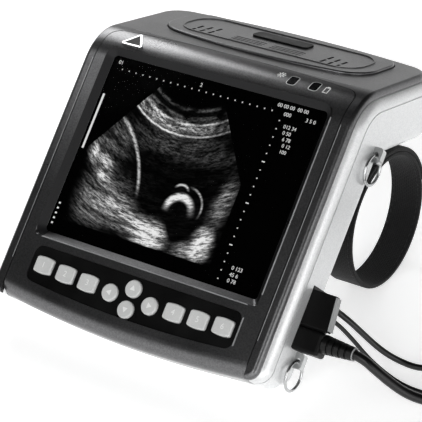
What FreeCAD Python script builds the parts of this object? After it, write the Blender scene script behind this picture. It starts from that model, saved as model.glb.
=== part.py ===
import FreeCAD, Part
import math
import os
import re

import Sketcher
from FreeCAD import Placement, Rotation, Vector

# Strapped-on scanner unit: a front leg with screen and keys, and a top leg above two strap loops.
# It is drawn in panel axes: X to the right, Y depth behind the front face, Z up the front face,
# with the middle of the screen window at zero. At the end one placement leans the whole unit back
# on its lower back edge and its two strap loops, with Z up from the table.

# Driving dimensions: millimetres, degrees and shares; an entry that starts with = follows from others
DIMS = {
    # housing
    "body_width": 150,
    "rim_inset": 3.3,
    "rim_width": "=body_width - 2 * rim_inset",
    "cover_inset": 0.3,
    "cover_width": "=body_width - 2 * cover_inset",
    "plate_inset": 9,
    "plate_width": "=body_width - 2 * plate_inset",
    "plate_thickness": 3,
    "frame_back": 19.3,
    "body_thickness": 30,
    "top_angle": 31,
    "top_margin": 9.1,
    "corner_height": "=window_height / 2 + top_margin",
    "bend_radius": 24,
    "inner_bend_radius": 6,
    "frame_wall": 5,
    "cover_wall": 2.5,
    "frame_crown": 5,
    "shell_round": 2.2,
    "cover_round": 6,
    "panel_gap": 0.35,
    "overrun": 1,
    # lower edge of the front leg
    "chin_margin": 10.2,
    "chin_drop": "=keypad_bottom + chin_margin",
    "frame_step": 1.5,
    "frame_drop": "=chin_drop - frame_step",
    "cover_step": 2.9,
    "cover_drop": "=frame_drop - cover_step",
    "chin_bow": 3.8,
    "frame_bow": 2.7,
    "chin_depth": 14,
    "lip_thickness": 2.8,
    "chin_round": 7,
    "chin_corner": 4,
    "lower_corner": 7,
    "groove_place": 8,
    "groove_width": 0.6,
    "groove_depth": 0.5,
    "rest_land_depth": 0.4,
    # back edge of the top leg
    "top_reach": 74,
    "rear_bow": 7,
    "rear_corner": 16,
    # upper edge of the front plate, on the bend
    "plate_edge_angle": 57,
    "plate_edge_bow": 5,
    "plate_edge_corner": 7,
    # screen
    "window_margin": 8.5,
    "window_width": "=plate_width - 2 * window_margin",
    "window_height": 87,
    "window_corner": 2.5,
    "bezel_slope": 3,
    "lens_margin": 1.5,
    "lens_thickness": 1.5,
    "display_thickness": 5,
    "carrier_thickness": 1.5,
    "carrier_margin": 4,
    "seat_gap": 0.2,
    # keypad
    "keypad_margin": 10,
    "keypad_width": "=plate_width - 2 * keypad_margin",
    "keypad_gap": 7.1,
    "keypad_top": "=window_height / 2 + keypad_gap",
    "keypad_height": 19.6,
    "keypad_bottom": "=keypad_top + keypad_height",
    "keypad_corner": 4,
    "keypad_depth": 1.3,
    "overlay_thickness": 0.7,
    "key_width": 9.6,
    "key_height": 8,
    "key_bulge": 0.6,
    "key_corner": 1.2,
    "key_proud": 1.3,
    "key_round": 0.8,
    "key_first": 23.4,
    "key_pitch": 12.65,
    "key_margin": 10.05,
    "key_drop": "=keypad_top + key_margin",
    "key_bow": 2.8,
    "arrow_size": 8.1,
    "arrow_spread": 10.8,
    "arrow_margin": 10.4,
    "arrow_drop": "=keypad_top + arrow_margin",
    "arrow_rise": 4.85,
    "key_gap": 0.25,
    "flange_lip": 0.6,
    "flange_inset": 1,
    "flange_thickness": 1,
    "flange_gap": 0.3,
    "key_travel": 1,
    "dome_radius": 2.4,
    "dome_height": 1.2,
    "dome_sheet_thickness": 0.2,
    "board_margin": 3.3,
    "keypad_board_width": "=2 * (key_first + 2 * key_pitch + board_margin)",
    "keypad_board_height": 19.5,
    "board_thickness": 1.6,
    "post_radius": 1.7,
    "post_spread": 30,
    # inside
    "main_board_margin": 16,
    "main_board_width": "=body_width - 2 * main_board_margin",
    "main_board_height": 70,
    "main_board_drop": 40,
    "main_board_gap": 1.4,
    "standoff_radius": 3,
    "standoff_inset": 4.5,
    "battery_width": 88,
    "battery_height": 52,
    "battery_gap": 0.9,
    "boss_radius": 3.6,
    "boss_depth": 7.9,
    "boss_inset": 10,
    "boss_spread": "=body_width / 2 - boss_inset",
    "boss_upper": 29,
    "boss_margin": 12,
    "boss_lower": "=cover_drop - boss_margin",
    "screw_radius": 1.5,
    "screw_head_radius": 2.8,
    "screw_head_height": 1.3,
    "screw_length": 16,
    "screw_fit": 0.05,
    "head_gap": 0.2,
    # indicators and badge on the bend
    "led_angle": 37,
    "led_margin": 31.9,
    "led_near": "=plate_width / 2 - led_margin",
    "led_pitch": 11.3,
    "led_length": 8,
    "led_width": 3,
    "led_proud": 0.1,
    "led_gap": 0.1,
    "badge_angle": 35.5,
    "badge_margin": 15.5,
    "badge_place": "=plate_width / 2 - badge_margin",
    "badge_width": 12.6,
    "badge_height": 9.6,
    "badge_corner": 0.9,
    "badge_thickness": 1.2,
    "badge_proud": 0.5,
    # vent panel
    "vent_margin": 19,
    "vent_width": "=body_width - 2 * vent_margin",
    "vent_front": 21.5,
    "vent_rear_margin": 11,
    "vent_back": "=top_reach - vent_rear_margin",
    "vent_bow": 7,
    "vent_front_corner": 16,
    "vent_back_corner": 10,
    "vent_proud": 1.1,
    "vent_round": 0.8,
    "slot_length": 5.2,
    "slot_width": 1.3,
    "slot_column_pitch": 6.6,
    "slot_row_pitch": 4.4,
    "slot_margin": 21,
    "slot_group_place": "=vent_width / 2 - slot_margin",
    "slot_inset": 13.5,
    "slot_group_front": "=vent_front + slot_inset",
    "louvre_length": 17,
    "louvre_width": 0.9,
    "louvre_pitch": 2.3,
    "louvre_place": 10.5,
    "louvre_inset": 10.5,
    "louvre_front": "=vent_front + louvre_inset",
    "name_width": 30,
    "name_height": 8.5,
    "name_margin": 13.5,
    "name_place": "=vent_back - name_margin",
    "name_thickness": 0.7,
    # lugs and rings
    "lug_height": 7,
    "lug_upper": 34.8,
    "lug_margin": 15.4,
    "lug_lower": "=cover_drop - lug_margin",
    "lug_depth": 23.5,
    "lug_thickness": 3.6,
    "lug_reach": 4.4,
    "lug_eye_radius": 1.25,
    "lug_eye_reach": 1.9,
    "ring_radius": 6.7,
    "ring_wire": 1.5,
    # straps
    "strap_width": 16,
    "strap_inset": 3,
    "strap_outer_edge": "=body_width / 2 - strap_inset",
    "strap_inner_radius": 30,
    "strap_thickness": 2.2,
    "strap_gap": 0.4,
    "flap_start_angle": 165,
    "flap_end_angle": 276,
    "clamp_height": 10,
    "clamp_thickness": 2,
    "clamp_reach": 12,
    "clamp_foot": 7.5,
    "clamp_lift": 0.75,
    "clamp_screw_length": 13,
    # connector bay and plugs
    "bay_reach": 13,
    "bay_inner": "=body_width / 2 - bay_reach",
    "bay_proud": 0.3,
    "bay_face": "=body_width / 2 + bay_proud",
    "bay_front": 14.5,
    "bay_back": 27.2,
    "bay_top": 28.5,
    "bay_bottom": 56.6,
    "upper_plug_top": 30,
    "upper_plug_bottom": 45.9,
    "upper_plug_front": 14.3,
    "upper_plug_back": 18,
    "upper_plug_reach": 11.5,
    "upper_plug_slant": 1.8,
    "upper_plug_round": 0.6,
    "end_plate_thickness": 0.9,
    "probe_plug_top": 46.3,
    "probe_plug_bottom": 57,
    "probe_plug_front": 14.2,
    "probe_plug_back": 23,
    "probe_plug_reach": 12.4,
    "probe_plug_round": 1.6,
    "relief_large_radius": 4.3,
    "relief_small_radius": 3,
    "relief_length": 14.3,
    "relief_drop": 50.6,
    "relief_depth": 18.6,
    "relief_rib_width": 1.1,
    "relief_rib_depth": 0.5,
    "power_exit_reach": 8.7,
    "power_exit_drop": 34.6,
    "thin_exit_reach": 9.3,
    "thin_exit_drop": 39.4,
    # leads; their routes are drawn for a bay whose face stands at route_face
    "route_face": 75.3,
    "probe_lead_size": 4.4,
    "power_lead_size": 2.8,
    "thin_lead_size": 2,
    "coil_turn_gap": 1.3,
    "probe_coil_inner": 16,
    "power_coil_inner": 9,
    "tie_width": 7,
    "tie_thickness": 0.9,
    "tie_gap": 0.8,
    "tie_lift": 0.3,
    "probe_length": 84,
    "probe_stem_length": 26,
    "probe_stem_size": 5,
    "probe_width": 21,
    "probe_neck_width": 12,
    "probe_neck_share": 0.3,
    "probe_round": 4,
    "tip_grip_length": 22,
    "tip_stem_length": 16,
    "tip_stem_size": 3.2,
    "tip_barrel_length": 10,
    "tip_barrel_size": 5.5,
    "sleeve_length": 13,
    "sleeve_width": 9,
    "sleeve_round": 2,
    "sleeve_lead_shift": 1.5,
    "layer_gap": 0.5,
    "lead_out": 6,
    "coil_entry": 20,
    "power_lead_out": 6,
    "thin_lead_out": 5,
}

# Counts
VENT_COLUMNS = 2
VENT_ROWS = 3
LOUVRES = 4
RELIEF_RIBS = 4
PROBE_COIL_TURNS = 4
POWER_COIL_TURNS = 4

doc = FreeCAD.newDocument("arm_scanner")
sheet = doc.addObject("Spreadsheet::Sheet", "dims")
for row, alias in enumerate(DIMS, start=1):
    sheet.set("A%d" % row, alias)
    sheet.setAlias("B%d" % row, alias)
for row, size in enumerate(DIMS.values(), start=1):
    sheet.set("B%d" % row, str(size))
doc.recompute()


# Expressions over the sheet
def full(expression):
    return re.sub(r"\b(%s)\b" % "|".join(DIMS), r"dims.\1", str(expression))


def number(expression):
    value = sheet.evalExpression(full(expression))
    return float(getattr(value, "Value", value))


def bind(target, path, expression):
    target.setExpression(path, full(expression))


# Building blocks
def box(name, x_span, y_span, z_span):
    made = doc.addObject("Part::Box", name)
    for size, axis, (low, high) in zip(("Length", "Width", "Height"), "xyz", (x_span, y_span, z_span)):
        bind(made, size, "(%s) - (%s)" % (high, low))
        bind(made, "Placement.Base." + axis, low)
    return made


def cylinder(name, direction, radius, start, end, place, far_radius=None):
    """Cylinder or cone along X or Y from start to end; place gives the other two coordinates."""
    kind = "Part::Cylinder" if far_radius is None else "Part::Cone"
    made = doc.addObject(kind, name)
    turn = {"x": Rotation(Vector(0, 1, 0), 90), "y": Rotation(Vector(1, 0, 0), -90)}[direction]
    made.Placement = Placement(Vector(), turn)
    if far_radius is None:
        bind(made, "Radius", radius)
    else:
        bind(made, "Radius1", radius)
        bind(made, "Radius2", far_radius)
    bind(made, "Height", "(%s) - (%s)" % (end, start))
    for axis, coordinate in zip({"x": "xyz", "y": "yxz"}[direction], (start,) + tuple(place)):
        bind(made, "Placement.Base." + axis, coordinate)
    return made


def place_freely(made, placement):
    """Placement worked out here in place of one bound to the sheet."""
    for path, _ in made.ExpressionEngine:
        if "Placement" in path:
            made.setExpression(path, None)
    made.Placement = placement


def joined(name, kind, pieces):
    if len(pieces) == 1:
        return pieces[0]
    made = doc.addObject(kind, name)
    made.Shapes = pieces
    made.Refine = True
    return made


def fused(name, *pieces):
    return joined(name, "Part::MultiFuse", list(pieces))


def common(name, *pieces):
    return joined(name, "Part::MultiCommon", list(pieces))


def cut(name, base, *tools):
    made = doc.addObject("Part::Cut", name)
    made.Base = base
    made.Tool = fused(name + "_tools", *tools)
    made.Refine = True
    return made


def rounded(name, source, radius, chosen):
    doc.recompute()
    size = number(radius)
    made = doc.addObject("Part::Fillet", name)
    made.Base = source
    made.Edges = [(index, size, size) for index, edge in enumerate(source.Shape.Edges, 1) if chosen(edge)]
    return made


def arc_centre(start, end, radius, side):
    """Centre of the arc from start to end, on the left (side 1) or right (side -1) of the way."""
    chord = end - start
    rise = math.sqrt(radius ** 2 - (chord.Length / 2) ** 2)
    across = Vector(-chord.y, chord.x, 0).normalize()
    return (start + end) * 0.5 + across * (rise * side)


def profile(body, plane, offset, corners, arcs=None):
    """Closed sketch through corners given as expressions; arcs maps a side's index to (radius, side)."""
    arcs = arcs or {}
    sketch = body.newObject("Sketcher::SketchObject", body.Name + "_profile")
    sketch.AttachmentSupport = [(next(p for p in body.Origin.OriginFeatures if p.Role == plane), "")]
    sketch.MapMode = "FlatFace"
    bind(sketch, "AttachmentOffset.Base.z", offset)
    places = [Vector(number(x), number(y), 0) for x, y in corners]
    count = len(corners)
    ends = []
    for index, start in enumerate(places):
        end = places[(index + 1) % count]
        if index in arcs:
            radius, side = number(arcs[index][0]), arcs[index][1]
            centre = arc_centre(start, end, radius, side)
            first, last = (start, end) if side > 0 else (end, start)
            angles = [math.atan2(p.y - centre.y, p.x - centre.x) for p in (first, last)]
            circle = Part.Circle(centre, Vector(0, 0, 1), radius)
            piece = sketch.addGeometry(Part.ArcOfCircle(circle, *angles), False)
            ends.append((piece, 1, 2) if side > 0 else (piece, 2, 1))
        else:
            piece = sketch.addGeometry(Part.LineSegment(start, end), False)
            ends.append((piece, 1, 2))
    for index, (piece, begin, _) in enumerate(ends):
        before = ends[index - 1]
        sketch.addConstraint(Sketcher.Constraint("Coincident", before[0], before[2], piece, begin))
        for way, coordinate, value in zip("XY", corners[index], places[index]):
            rule = Sketcher.Constraint("Distance" + way, -1, 1, piece, begin, value)
            bind(sketch, "Constraints[%d]" % sketch.addConstraint(rule), coordinate)
        if index in arcs:
            rule = Sketcher.Constraint("Radius", piece, number(arcs[index][0]))
            bind(sketch, "Constraints[%d]" % sketch.addConstraint(rule), arcs[index][0])
    return sketch


def prism(name, plane, low, high, corners, arcs=None):
    """Body padded from an outline; low and high lie along the plane's normal (+X, +Y or +Z)."""
    body = doc.addObject("PartDesign::Body", name)
    flipped = plane == "XZ_Plane"
    sketch = profile(body, plane, "-(%s)" % low if flipped else low, corners, arcs)
    pad = body.newObject("PartDesign::Pad", name + "_pad")
    pad.Profile = sketch
    pad.Reversed = flipped
    bind(pad, "Length", "(%s) - (%s)" % (high, low))
    doc.recompute()
    return body


def soften(body, radius, chosen):
    """Fillet on the chosen edges of a body's last feature."""
    doc.recompute()
    last = body.Tip
    names = ["Edge%d" % index for index, edge in enumerate(last.Shape.Edges, 1) if chosen(edge)]
    fillet = body.newObject("PartDesign::Fillet", body.Name + "_fillet")
    fillet.Base = (last, names)
    bind(fillet, "Radius", radius)
    doc.recompute()
    return body


def straight(edge, way):
    if edge.Curve.TypeId != "Part::GeomLine":
        return False
    return abs(abs(edge.tangentAt(edge.FirstParameter).dot(way)) - 1) < 1e-6


def middle(edge):
    return edge.valueAt((edge.FirstParameter + edge.LastParameter) / 2)


def on_surface(target, angle, along="0"):
    """Put a piece's own XY plane on the outer surface, at an angle round the bend from the front."""
    target.Placement = Placement(Vector(), Rotation(Vector(1, 0, 0), 90))
    depth = "bend_radius * (1 - cos(%s)) + (%s) * sin(%s)" % (angle, along, angle)
    height = "%s + bend_radius * sin(%s) + (%s) * cos(%s)" % (BEND_START, angle, along, angle)
    bind(target, "Placement.Base.y", depth)
    bind(target, "Placement.Base.z", height)
    bind(target, "Placement.Rotation.Angle", "90 - (%s)" % angle)
    return target


def on_top(target):
    """Put a piece's own XY plane on the top leg: X right, Y back along the leg, Z out of it."""
    target.Placement = Placement(Vector(), Rotation(Vector(1, 0, 0), 90))
    bind(target, "Placement.Base.z", "corner_height")
    bind(target, "Placement.Rotation.Angle", "top_angle")
    return target


# The two legs: every layer follows the same bent line at its own offset behind the outer surface
CORNER_SHARE = "tan(45 - top_angle / 2)"
BEND_START = "(corner_height - bend_radius * %s)" % CORNER_SHARE
OUTER_RADIUS = "(bend_radius - (%s))"


def bend_points(offset, radius):
    """Start and end of the bend on the layer at an offset, and a point far along the top leg."""
    corner_z = "corner_height - (%s) * %s" % (offset, CORNER_SHARE)
    run = "(%s) * %s" % (radius, CORNER_SHARE)
    start = (offset, "%s - %s" % (corner_z, run))
    end = tuple(
        "%s + (%s) * %s" % (base, run, way)
        for base, way in ((offset, "cos(top_angle)"), (corner_z, "sin(top_angle)"))
    )
    far = tuple(
        "%s + 2 * top_reach * %s" % (base, way)
        for base, way in ((offset, "cos(top_angle)"), (corner_z, "sin(top_angle)"))
    )
    return start, end, far


def leg_layer(name, near, near_radius, far, far_radius, half_width):
    near_start, near_end, near_tail = bend_points(near, near_radius)
    far_start, far_end, far_tail = bend_points(far, far_radius)
    low = "-chin_drop - overrun"
    corners = [(near, low), near_start, near_end, near_tail, far_tail, far_end, far_start, (far, low)]
    arcs = {1: (near_radius, -1), 5: (far_radius, 1)}
    return prism(name, "YZ_Plane", "-(%s)" % half_width, half_width, corners, arcs)


def bow_radius(half_width, bow):
    return "((%s) ^ 2 + (%s) ^ 2) / (2 * (%s))" % (half_width, bow, bow)


def front_outline(name, half_width, drop, bow, corner=None):
    """Prism through the depth with the bowed lower edge and, if asked, rounded lower corners."""
    low = "-(%s) + (%s)" % (drop, bow)
    tall = "2 * top_reach"
    left = "-(%s)" % half_width
    corners = [(left, tall), (left, low), (half_width, low), (half_width, tall)]
    arcs = {1: (bow_radius(half_width, bow), 1)}
    body = prism(name, "XZ_Plane", "-body_thickness", "6 * body_thickness", corners, arcs)
    if corner is None:
        return body
    level = number(low)
    return soften(body, corner, lambda e: straight(e, Vector(0, 1, 0)) and abs(middle(e).z - level) < 1e-6)


def top_outline(name, half_width, reach, bow, corner):
    """Prism square to the top leg with its bowed back edge and rounded back corners."""
    end = "(%s) - (%s)" % (reach, bow)
    start = "-2 * chin_drop"
    left = "-(%s)" % half_width
    corners = [(left, start), (half_width, start), (half_width, end), (left, end)]
    arcs = {2: (bow_radius(half_width, bow), 1)}
    body = prism(name, "XY_Plane", "-2 * chin_drop", "body_thickness", corners, arcs)
    soften(body, corner, upright_at("y", number(end)))
    return on_top(body)


def shell_layer(name, near, near_radius, far, far_radius, inset, drop, bow):
    """One layer of the housing, drawn in from the widest outline by an inset."""
    half_width = "body_width / 2 - (%s)" % inset
    layer = leg_layer(name + "_layer", near, near_radius, far, far_radius, half_width)
    lower = front_outline(name + "_lower", half_width, drop, bow, "lower_corner - (%s) / 2" % inset)
    upper = top_outline(
        name + "_upper", half_width, "top_reach - (%s)" % inset, "rear_bow", "rear_corner - (%s)" % inset
    )
    return common(name, layer, lower, upper)


def layer_depth(point):
    """How far a point lies behind the outer surface."""
    angle = math.radians(number("top_angle"))
    centre = Vector(0, number("bend_radius"), number(BEND_START))
    if point.z <= centre.z:
        return point.y
    along = (point.y - centre.y) * math.cos(angle) + (point.z - centre.z) * math.sin(angle)
    if along >= 0:
        return point.y * math.sin(angle) - (point.z - number("corner_height")) * math.cos(angle)
    return number("bend_radius") - math.hypot(point.y - centre.y, point.z - centre.z)


def rim_edge(*depths):
    """Chooser for the edges that run round a layer at one of the given depths."""
    levels = [number(depth) for depth in depths]

    def chosen(edge):
        if straight(edge, Vector(1, 0, 0)):
            return False
        first, last = edge.FirstParameter, edge.LastParameter
        places = [edge.valueAt(first + (last - first) * share) for share in EDGE_SHARES]
        return any(all(abs(layer_depth(p) - level) < 1e-3 for p in places) for level in levels)

    return chosen


# Shares: where an edge is sampled, and how much of a half width a rounded end takes
EDGE_SHARES = (0.1, 0.5, 0.9)
ROUND_END = 0.98

SUB_PARTS = []

# Pieces that belong to the leads, which the middle of the unit is measured without
CORD_PIECES = {"upper_plug", "plug_end_plate", "probe_plug", "strain_relief"}


def sub_part(label, made):
    made.Label = label
    SUB_PARTS.append(made)
    return made


def upright(edge):
    return straight(edge, Vector(0, 0, 1))


def upright_at(axis, level):
    """Chooser for upright edges at a level along X or Y."""
    return lambda edge: upright(edge) and abs(getattr(middle(edge), axis) - level) < 1e-6


# Keys: their outlines also cut the plate and the overlay
def key_places():
    places = {}
    for order in (1, 2, 3):
        across = "key_first + %d * key_pitch" % (order - 1)
        height = "-key_drop + key_bow * ((%s) / (plate_width / 2)) ^ 2" % across
        places["key_left_%d" % order] = ("-(%s)" % across, height, False)
        places["key_right_%d" % order] = (across, height, False)
    places["key_arrow_left"] = ("-arrow_spread", "-arrow_drop", True)
    places["key_arrow_right"] = ("arrow_spread", "-arrow_drop", True)
    places["key_arrow_up"] = ("0", "-arrow_drop + arrow_rise", True)
    places["key_arrow_down"] = ("0", "-arrow_drop - arrow_rise", True)
    return places


def key_outline(name, place, grow, low, high):
    across, height, is_round = place
    if is_round:
        return cylinder(name, "y", "arrow_size / 2 + (%s)" % grow, low, high, (across, height))
    half_wide = "key_width / 2 + (%s)" % grow
    half_tall = "key_height / 2 - key_bulge + (%s)" % grow
    corners = [
        ("%s - (%s)" % (across, half_wide), "%s - (%s)" % (height, half_tall)),
        ("%s + (%s)" % (across, half_wide), "%s - (%s)" % (height, half_tall)),
        ("%s + (%s)" % (across, half_wide), "%s + (%s)" % (height, half_tall)),
        ("%s - (%s)" % (across, half_wide), "%s + (%s)" % (height, half_tall)),
    ]
    bulge = bow_radius(half_wide, "key_bulge")
    body = prism(name, "XZ_Plane", low, high, corners, {0: (bulge, 1), 2: (bulge, 1)})
    return soften(body, "key_corner", lambda e: straight(e, Vector(0, 1, 0)))


FLANGE_FRONT = "plate_thickness + flange_gap"
FLANGE_BACK = "plate_thickness + flange_gap + flange_thickness"
DOME_FRONT = "%s + key_travel + flange_gap" % FLANGE_BACK
BOARD_FRONT = "%s + dome_height + dome_sheet_thickness" % DOME_FRONT


def make_keys():
    for name, place in key_places().items():
        across, height, is_round = place
        size = "arrow_size" if is_round else "key_width"
        tall = "arrow_size" if is_round else "key_height"
        cap_front = "keypad_depth - overlay_thickness - key_proud"
        cap = key_outline(name + "_cap", place, "0", cap_front, FLANGE_FRONT)
        crest = number("keypad_depth - overlay_thickness - key_proud")
        top = rounded(name + "_crest", cap, "key_round", lambda e: abs(e.BoundBox.YMax - crest) < 1e-6)
        flange = box(
            name + "_flange",
            ("%s - %s / 2 - flange_lip" % (across, size), "%s + %s / 2 + flange_lip" % (across, size)),
            (FLANGE_FRONT, FLANGE_BACK),
            ("%s - %s / 2 + flange_inset" % (height, tall), "%s + %s / 2 - flange_inset" % (height, tall)),
        )
        sub_part(name, fused(name, top, flange))


def key_holes(name):
    tools = [
        key_outline("%s_%s" % (name, key), place, "key_gap", "-overrun", "plate_thickness + overrun")
        for key, place in key_places().items()
    ]
    return fused(name, *tools)


def keypad_shape(name, grow, low, high):
    half = "keypad_width / 2 + (%s)" % grow
    bottom, top = "-keypad_bottom - (%s)" % grow, "-keypad_top + (%s)" % grow
    corners = [("-(%s)" % half, bottom), (half, bottom), (half, top), ("-(%s)" % half, top)]
    lifted = "%s + key_bow" % bottom
    corners[0] = (corners[0][0], lifted)
    corners[1] = (corners[1][0], lifted)
    body = prism(name, "XZ_Plane", low, high, corners, {0: (bow_radius(half, "key_bow"), 1)})
    return soften(body, "keypad_corner + (%s)" % grow, lambda e: straight(e, Vector(0, 1, 0)))


# Front plate
def window_cutter():
    made = doc.addObject("Part::Wedge", "window_cutter")
    spread = "bezel_slope * (plate_thickness + overrun) / plate_thickness"
    shrink = "bezel_slope * overrun / plate_thickness"
    for sign, end in (("-", "min"), ("", "max")):
        for axis, size in (("X", "window_width"), ("Z", "window_height")):
            bind(made, axis + end, "%s(%s / 2 + %s)" % (sign, size, spread))
            bind(made, axis + "2" + end, "%s(%s / 2 - %s)" % (sign, size, shrink))
    bind(made, "Ymin", "-overrun")
    bind(made, "Ymax", "plate_thickness + overrun")
    return rounded("window_rounded", made, "window_corner", lambda e: e.BoundBox.YLength > number("overrun"))


def plate_outline(name, grow):
    """Prism through the bend whose upper edge and corners bound the front plate."""
    half = "plate_width / 2 + (%s)" % grow
    side_top = "(%s) - plate_edge_bow" % grow
    corners = [
        ("-(%s)" % half, "-2 * chin_drop"),
        (half, "-2 * chin_drop"),
        (half, side_top),
        ("-(%s)" % half, side_top),
    ]
    arcs = {2: (bow_radius(half, "plate_edge_bow"), 1)}
    body = prism(name, "XY_Plane", "-2 * chin_drop", "body_thickness", corners, arcs)
    soften(body, "plate_edge_corner", upright_at("y", number(side_top)))
    return on_surface(body, "plate_edge_angle")


def display_seat():
    half_wide = "window_width / 2 + lens_margin + seat_gap"
    half_tall = "window_height / 2 + lens_margin + seat_gap"
    return box(
        "display_seat",
        ("-(%s)" % half_wide, half_wide),
        ("plate_thickness", "body_thickness"),
        ("-(%s)" % half_tall, half_tall),
    )


def board_posts(name, start, end, radius):
    posts = []
    for side in ("-", ""):
        for level in (
            "-keypad_top - post_radius",
            "-keypad_top - keypad_board_height + post_radius",
        ):
            place = (side + "post_spread", level)
            posts.append(cylinder("%s_%d" % (name, len(posts)), "y", radius, start, end, place))
    return posts


def led_places():
    return {"led_lens_power": "led_near", "led_lens_charge": "led_near + led_pitch"}


def led_shape(name, across, grow, low, high):
    half, reach = "led_width / 2 + (%s)" % grow, "led_length / 2 - led_width / 2"
    corners = [
        ("%s + (%s)" % (across, half), "-(%s)" % reach),
        ("%s + (%s)" % (across, half), reach),
        ("%s - (%s)" % (across, half), reach),
        ("%s - (%s)" % (across, half), "-(%s)" % reach),
    ]
    body = prism(name, "XY_Plane", low, high, corners)
    ends = [number(reach), -number(reach)]
    for end in ends:
        soften(body, "(%s) * %s" % (half, ROUND_END), upright_at("y", end))
    return on_surface(body, "led_angle")


def badge_shape(name, grow, low, high):
    half, tall = "badge_width / 2 + (%s)" % grow, "badge_height / 2 + (%s)" % grow
    corners = [
        ("-badge_place - (%s)" % half, "-(%s)" % tall),
        ("-badge_place + (%s)" % half, "-(%s)" % tall),
        ("-badge_place", tall),
    ]
    body = prism(name, "XY_Plane", low, high, corners)
    soften(body, "badge_corner", upright)
    return on_surface(body, "badge_angle")


def lip_room(name, gap):
    """Prism whose lower edge is the inner face of the lip under the chin."""
    wide = "(plate_width / 2 + overrun)"
    bow = "chin_bow * (%s / (plate_width / 2)) ^ 2" % wide
    return front_outline(name, wide, "chin_drop - lip_thickness - (%s)" % gap, bow)


def lip_space():
    """What the lip and its gap take out of the frame."""
    half = "(plate_width / 2 + panel_gap)"
    block = box(
        "lip_space_block", ("-" + half, half), ("-overrun", "chin_depth + panel_gap"),
        ("-2 * chin_drop", "-keypad_bottom")
    )
    return cut("lip_space", block, lip_room("lip_space_room", "panel_gap"))


def make_front_plate():
    layer = leg_layer(
        "plate_layer", "0", "bend_radius", "plate_thickness", OUTER_RADIUS % "plate_thickness",
        "plate_width / 2"
    )
    outline = plate_outline("plate_outline", "0")
    half = "plate_width / 2"
    lower = front_outline("plate_lower", half, "chin_drop", "chin_bow")
    sheet_part = common("plate_sheet", layer, outline, lower)
    lip_block = box(
        "chin_block", ("-" + half, half), ("plate_thickness", "chin_depth"), ("-chin_drop", "-keypad_top")
    )
    lip_outer = common("chin_outer", lip_block, lower)
    lip = cut("chin_lip", lip_outer, lip_room("chin_room", "0"))
    whole = fused("plate_whole", sheet_part, lip)

    def chin_edge(edge):
        return edge.BoundBox.YMax < 1e-6 and edge.BoundBox.ZMax < -number("keypad_bottom")

    sharp = rounded("plate_sharp", whole, "chin_round", lambda e: chin_edge(e) and not upright(e))
    ends = front_outline("plate_ends", half, "chin_drop", "chin_bow", "chin_corner")
    rolled = common("plate_rolled", sharp, ends)
    recess = keypad_shape("keypad_recess", "0", "-overrun", "keypad_depth")
    slot_tools = [led_shape(name + "_hole", across, "led_gap", "-2 * plate_thickness", "plate_thickness")
                  for name, across in led_places().items()]
    badge_room = badge_shape("badge_room", "led_gap", "badge_proud - badge_thickness", "plate_thickness")
    opened = cut("plate_opened", rolled, window_cutter(), display_seat(), recess, key_holes("plate_holes"),
                 badge_room, *slot_tools)
    posts = board_posts("plate_post", "plate_thickness - flange_gap", BOARD_FRONT, "post_radius")
    sub_part("front_plate", fused("front_plate", opened, *posts))


def make_bend_trim():
    for name, across in led_places().items():
        sub_part(name, led_shape(name, across, "0", "-plate_thickness", "led_proud"))
    sub_part("badge_blank", badge_shape("badge_blank", "0", "badge_proud - badge_thickness", "badge_proud"))


def make_keypad_parts():
    blank = keypad_shape("overlay_blank", "-led_gap", "keypad_depth - overlay_thickness", "keypad_depth")
    sub_part("keypad_overlay", cut("keypad_overlay", blank, key_holes("overlay_holes")))
    half = "keypad_board_width / 2"
    span = ("-keypad_top - keypad_board_height", "-keypad_top")
    post_holes = board_posts(
        "sheet_hole", DOME_FRONT, "%s + board_thickness" % BOARD_FRONT, "post_radius + screw_fit"
    )
    film_front = "%s - dome_sheet_thickness" % BOARD_FRONT
    film = box("dome_film", ("-" + half, half), (film_front, BOARD_FRONT), span)
    film_open = cut("dome_film_open", film, *post_holes)
    domes = [
        cylinder(name + "_dome", "y", "dome_radius", "%s" % DOME_FRONT, BOARD_FRONT, place[:2])
        for name, place in key_places().items()
    ]
    sub_part("dome_sheet", fused("dome_sheet", film_open, *domes))
    board_span = (BOARD_FRONT, "%s + board_thickness" % BOARD_FRONT)
    sub_part("keypad_board", box("keypad_board", ("-" + half, half), board_span, span))


# Housing
def make_outer_shell():
    inset = "(body_width - rim_width) / 2"
    layer = shell_layer(
        "shell_blank", "0", "bend_radius", "plate_thickness", OUTER_RADIUS % "plate_thickness",
        inset, "frame_drop + panel_gap", "frame_bow"
    )
    eased = rounded("shell_eased", layer, "shell_round", rim_edge("0"))
    plate_room = plate_outline("shell_plate_room", "panel_gap")
    vent_room = vent_shape("shell_vent_room", "panel_gap", "-2 * plate_thickness", "2 * plate_thickness")
    sub_part("outer_shell", cut("outer_shell", eased, plate_room, vent_room))


def vent_shape(name, grow, low, high):
    half = "vent_width / 2 + (%s)" % grow
    front, back = "vent_front + vent_bow - (%s)" % grow, "vent_back + (%s)" % grow
    corners = [("-(%s)" % half, front), (half, front), (half, back), ("-(%s)" % half, back)]
    body = prism(name, "XY_Plane", low, high, corners, {0: (bow_radius(half, "vent_bow"), 1)})
    soften(body, "vent_front_corner", upright_at("y", number(front)))
    soften(body, "vent_back_corner", upright_at("y", number(back)))
    return on_top(body)


def top_slot(name, across, along, wide, deep):
    corners = [
        ("%s - (%s) / 2" % (across, wide), "%s - (%s) / 2" % (along, deep)),
        ("%s + (%s) / 2" % (across, wide), "%s - (%s) / 2" % (along, deep)),
        ("%s + (%s) / 2" % (across, wide), "%s + (%s) / 2" % (along, deep)),
        ("%s - (%s) / 2" % (across, wide), "%s + (%s) / 2" % (along, deep)),
    ]
    body = prism(name, "XY_Plane", "-2 * plate_thickness", "2 * plate_thickness", corners)
    return on_top(body)


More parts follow.
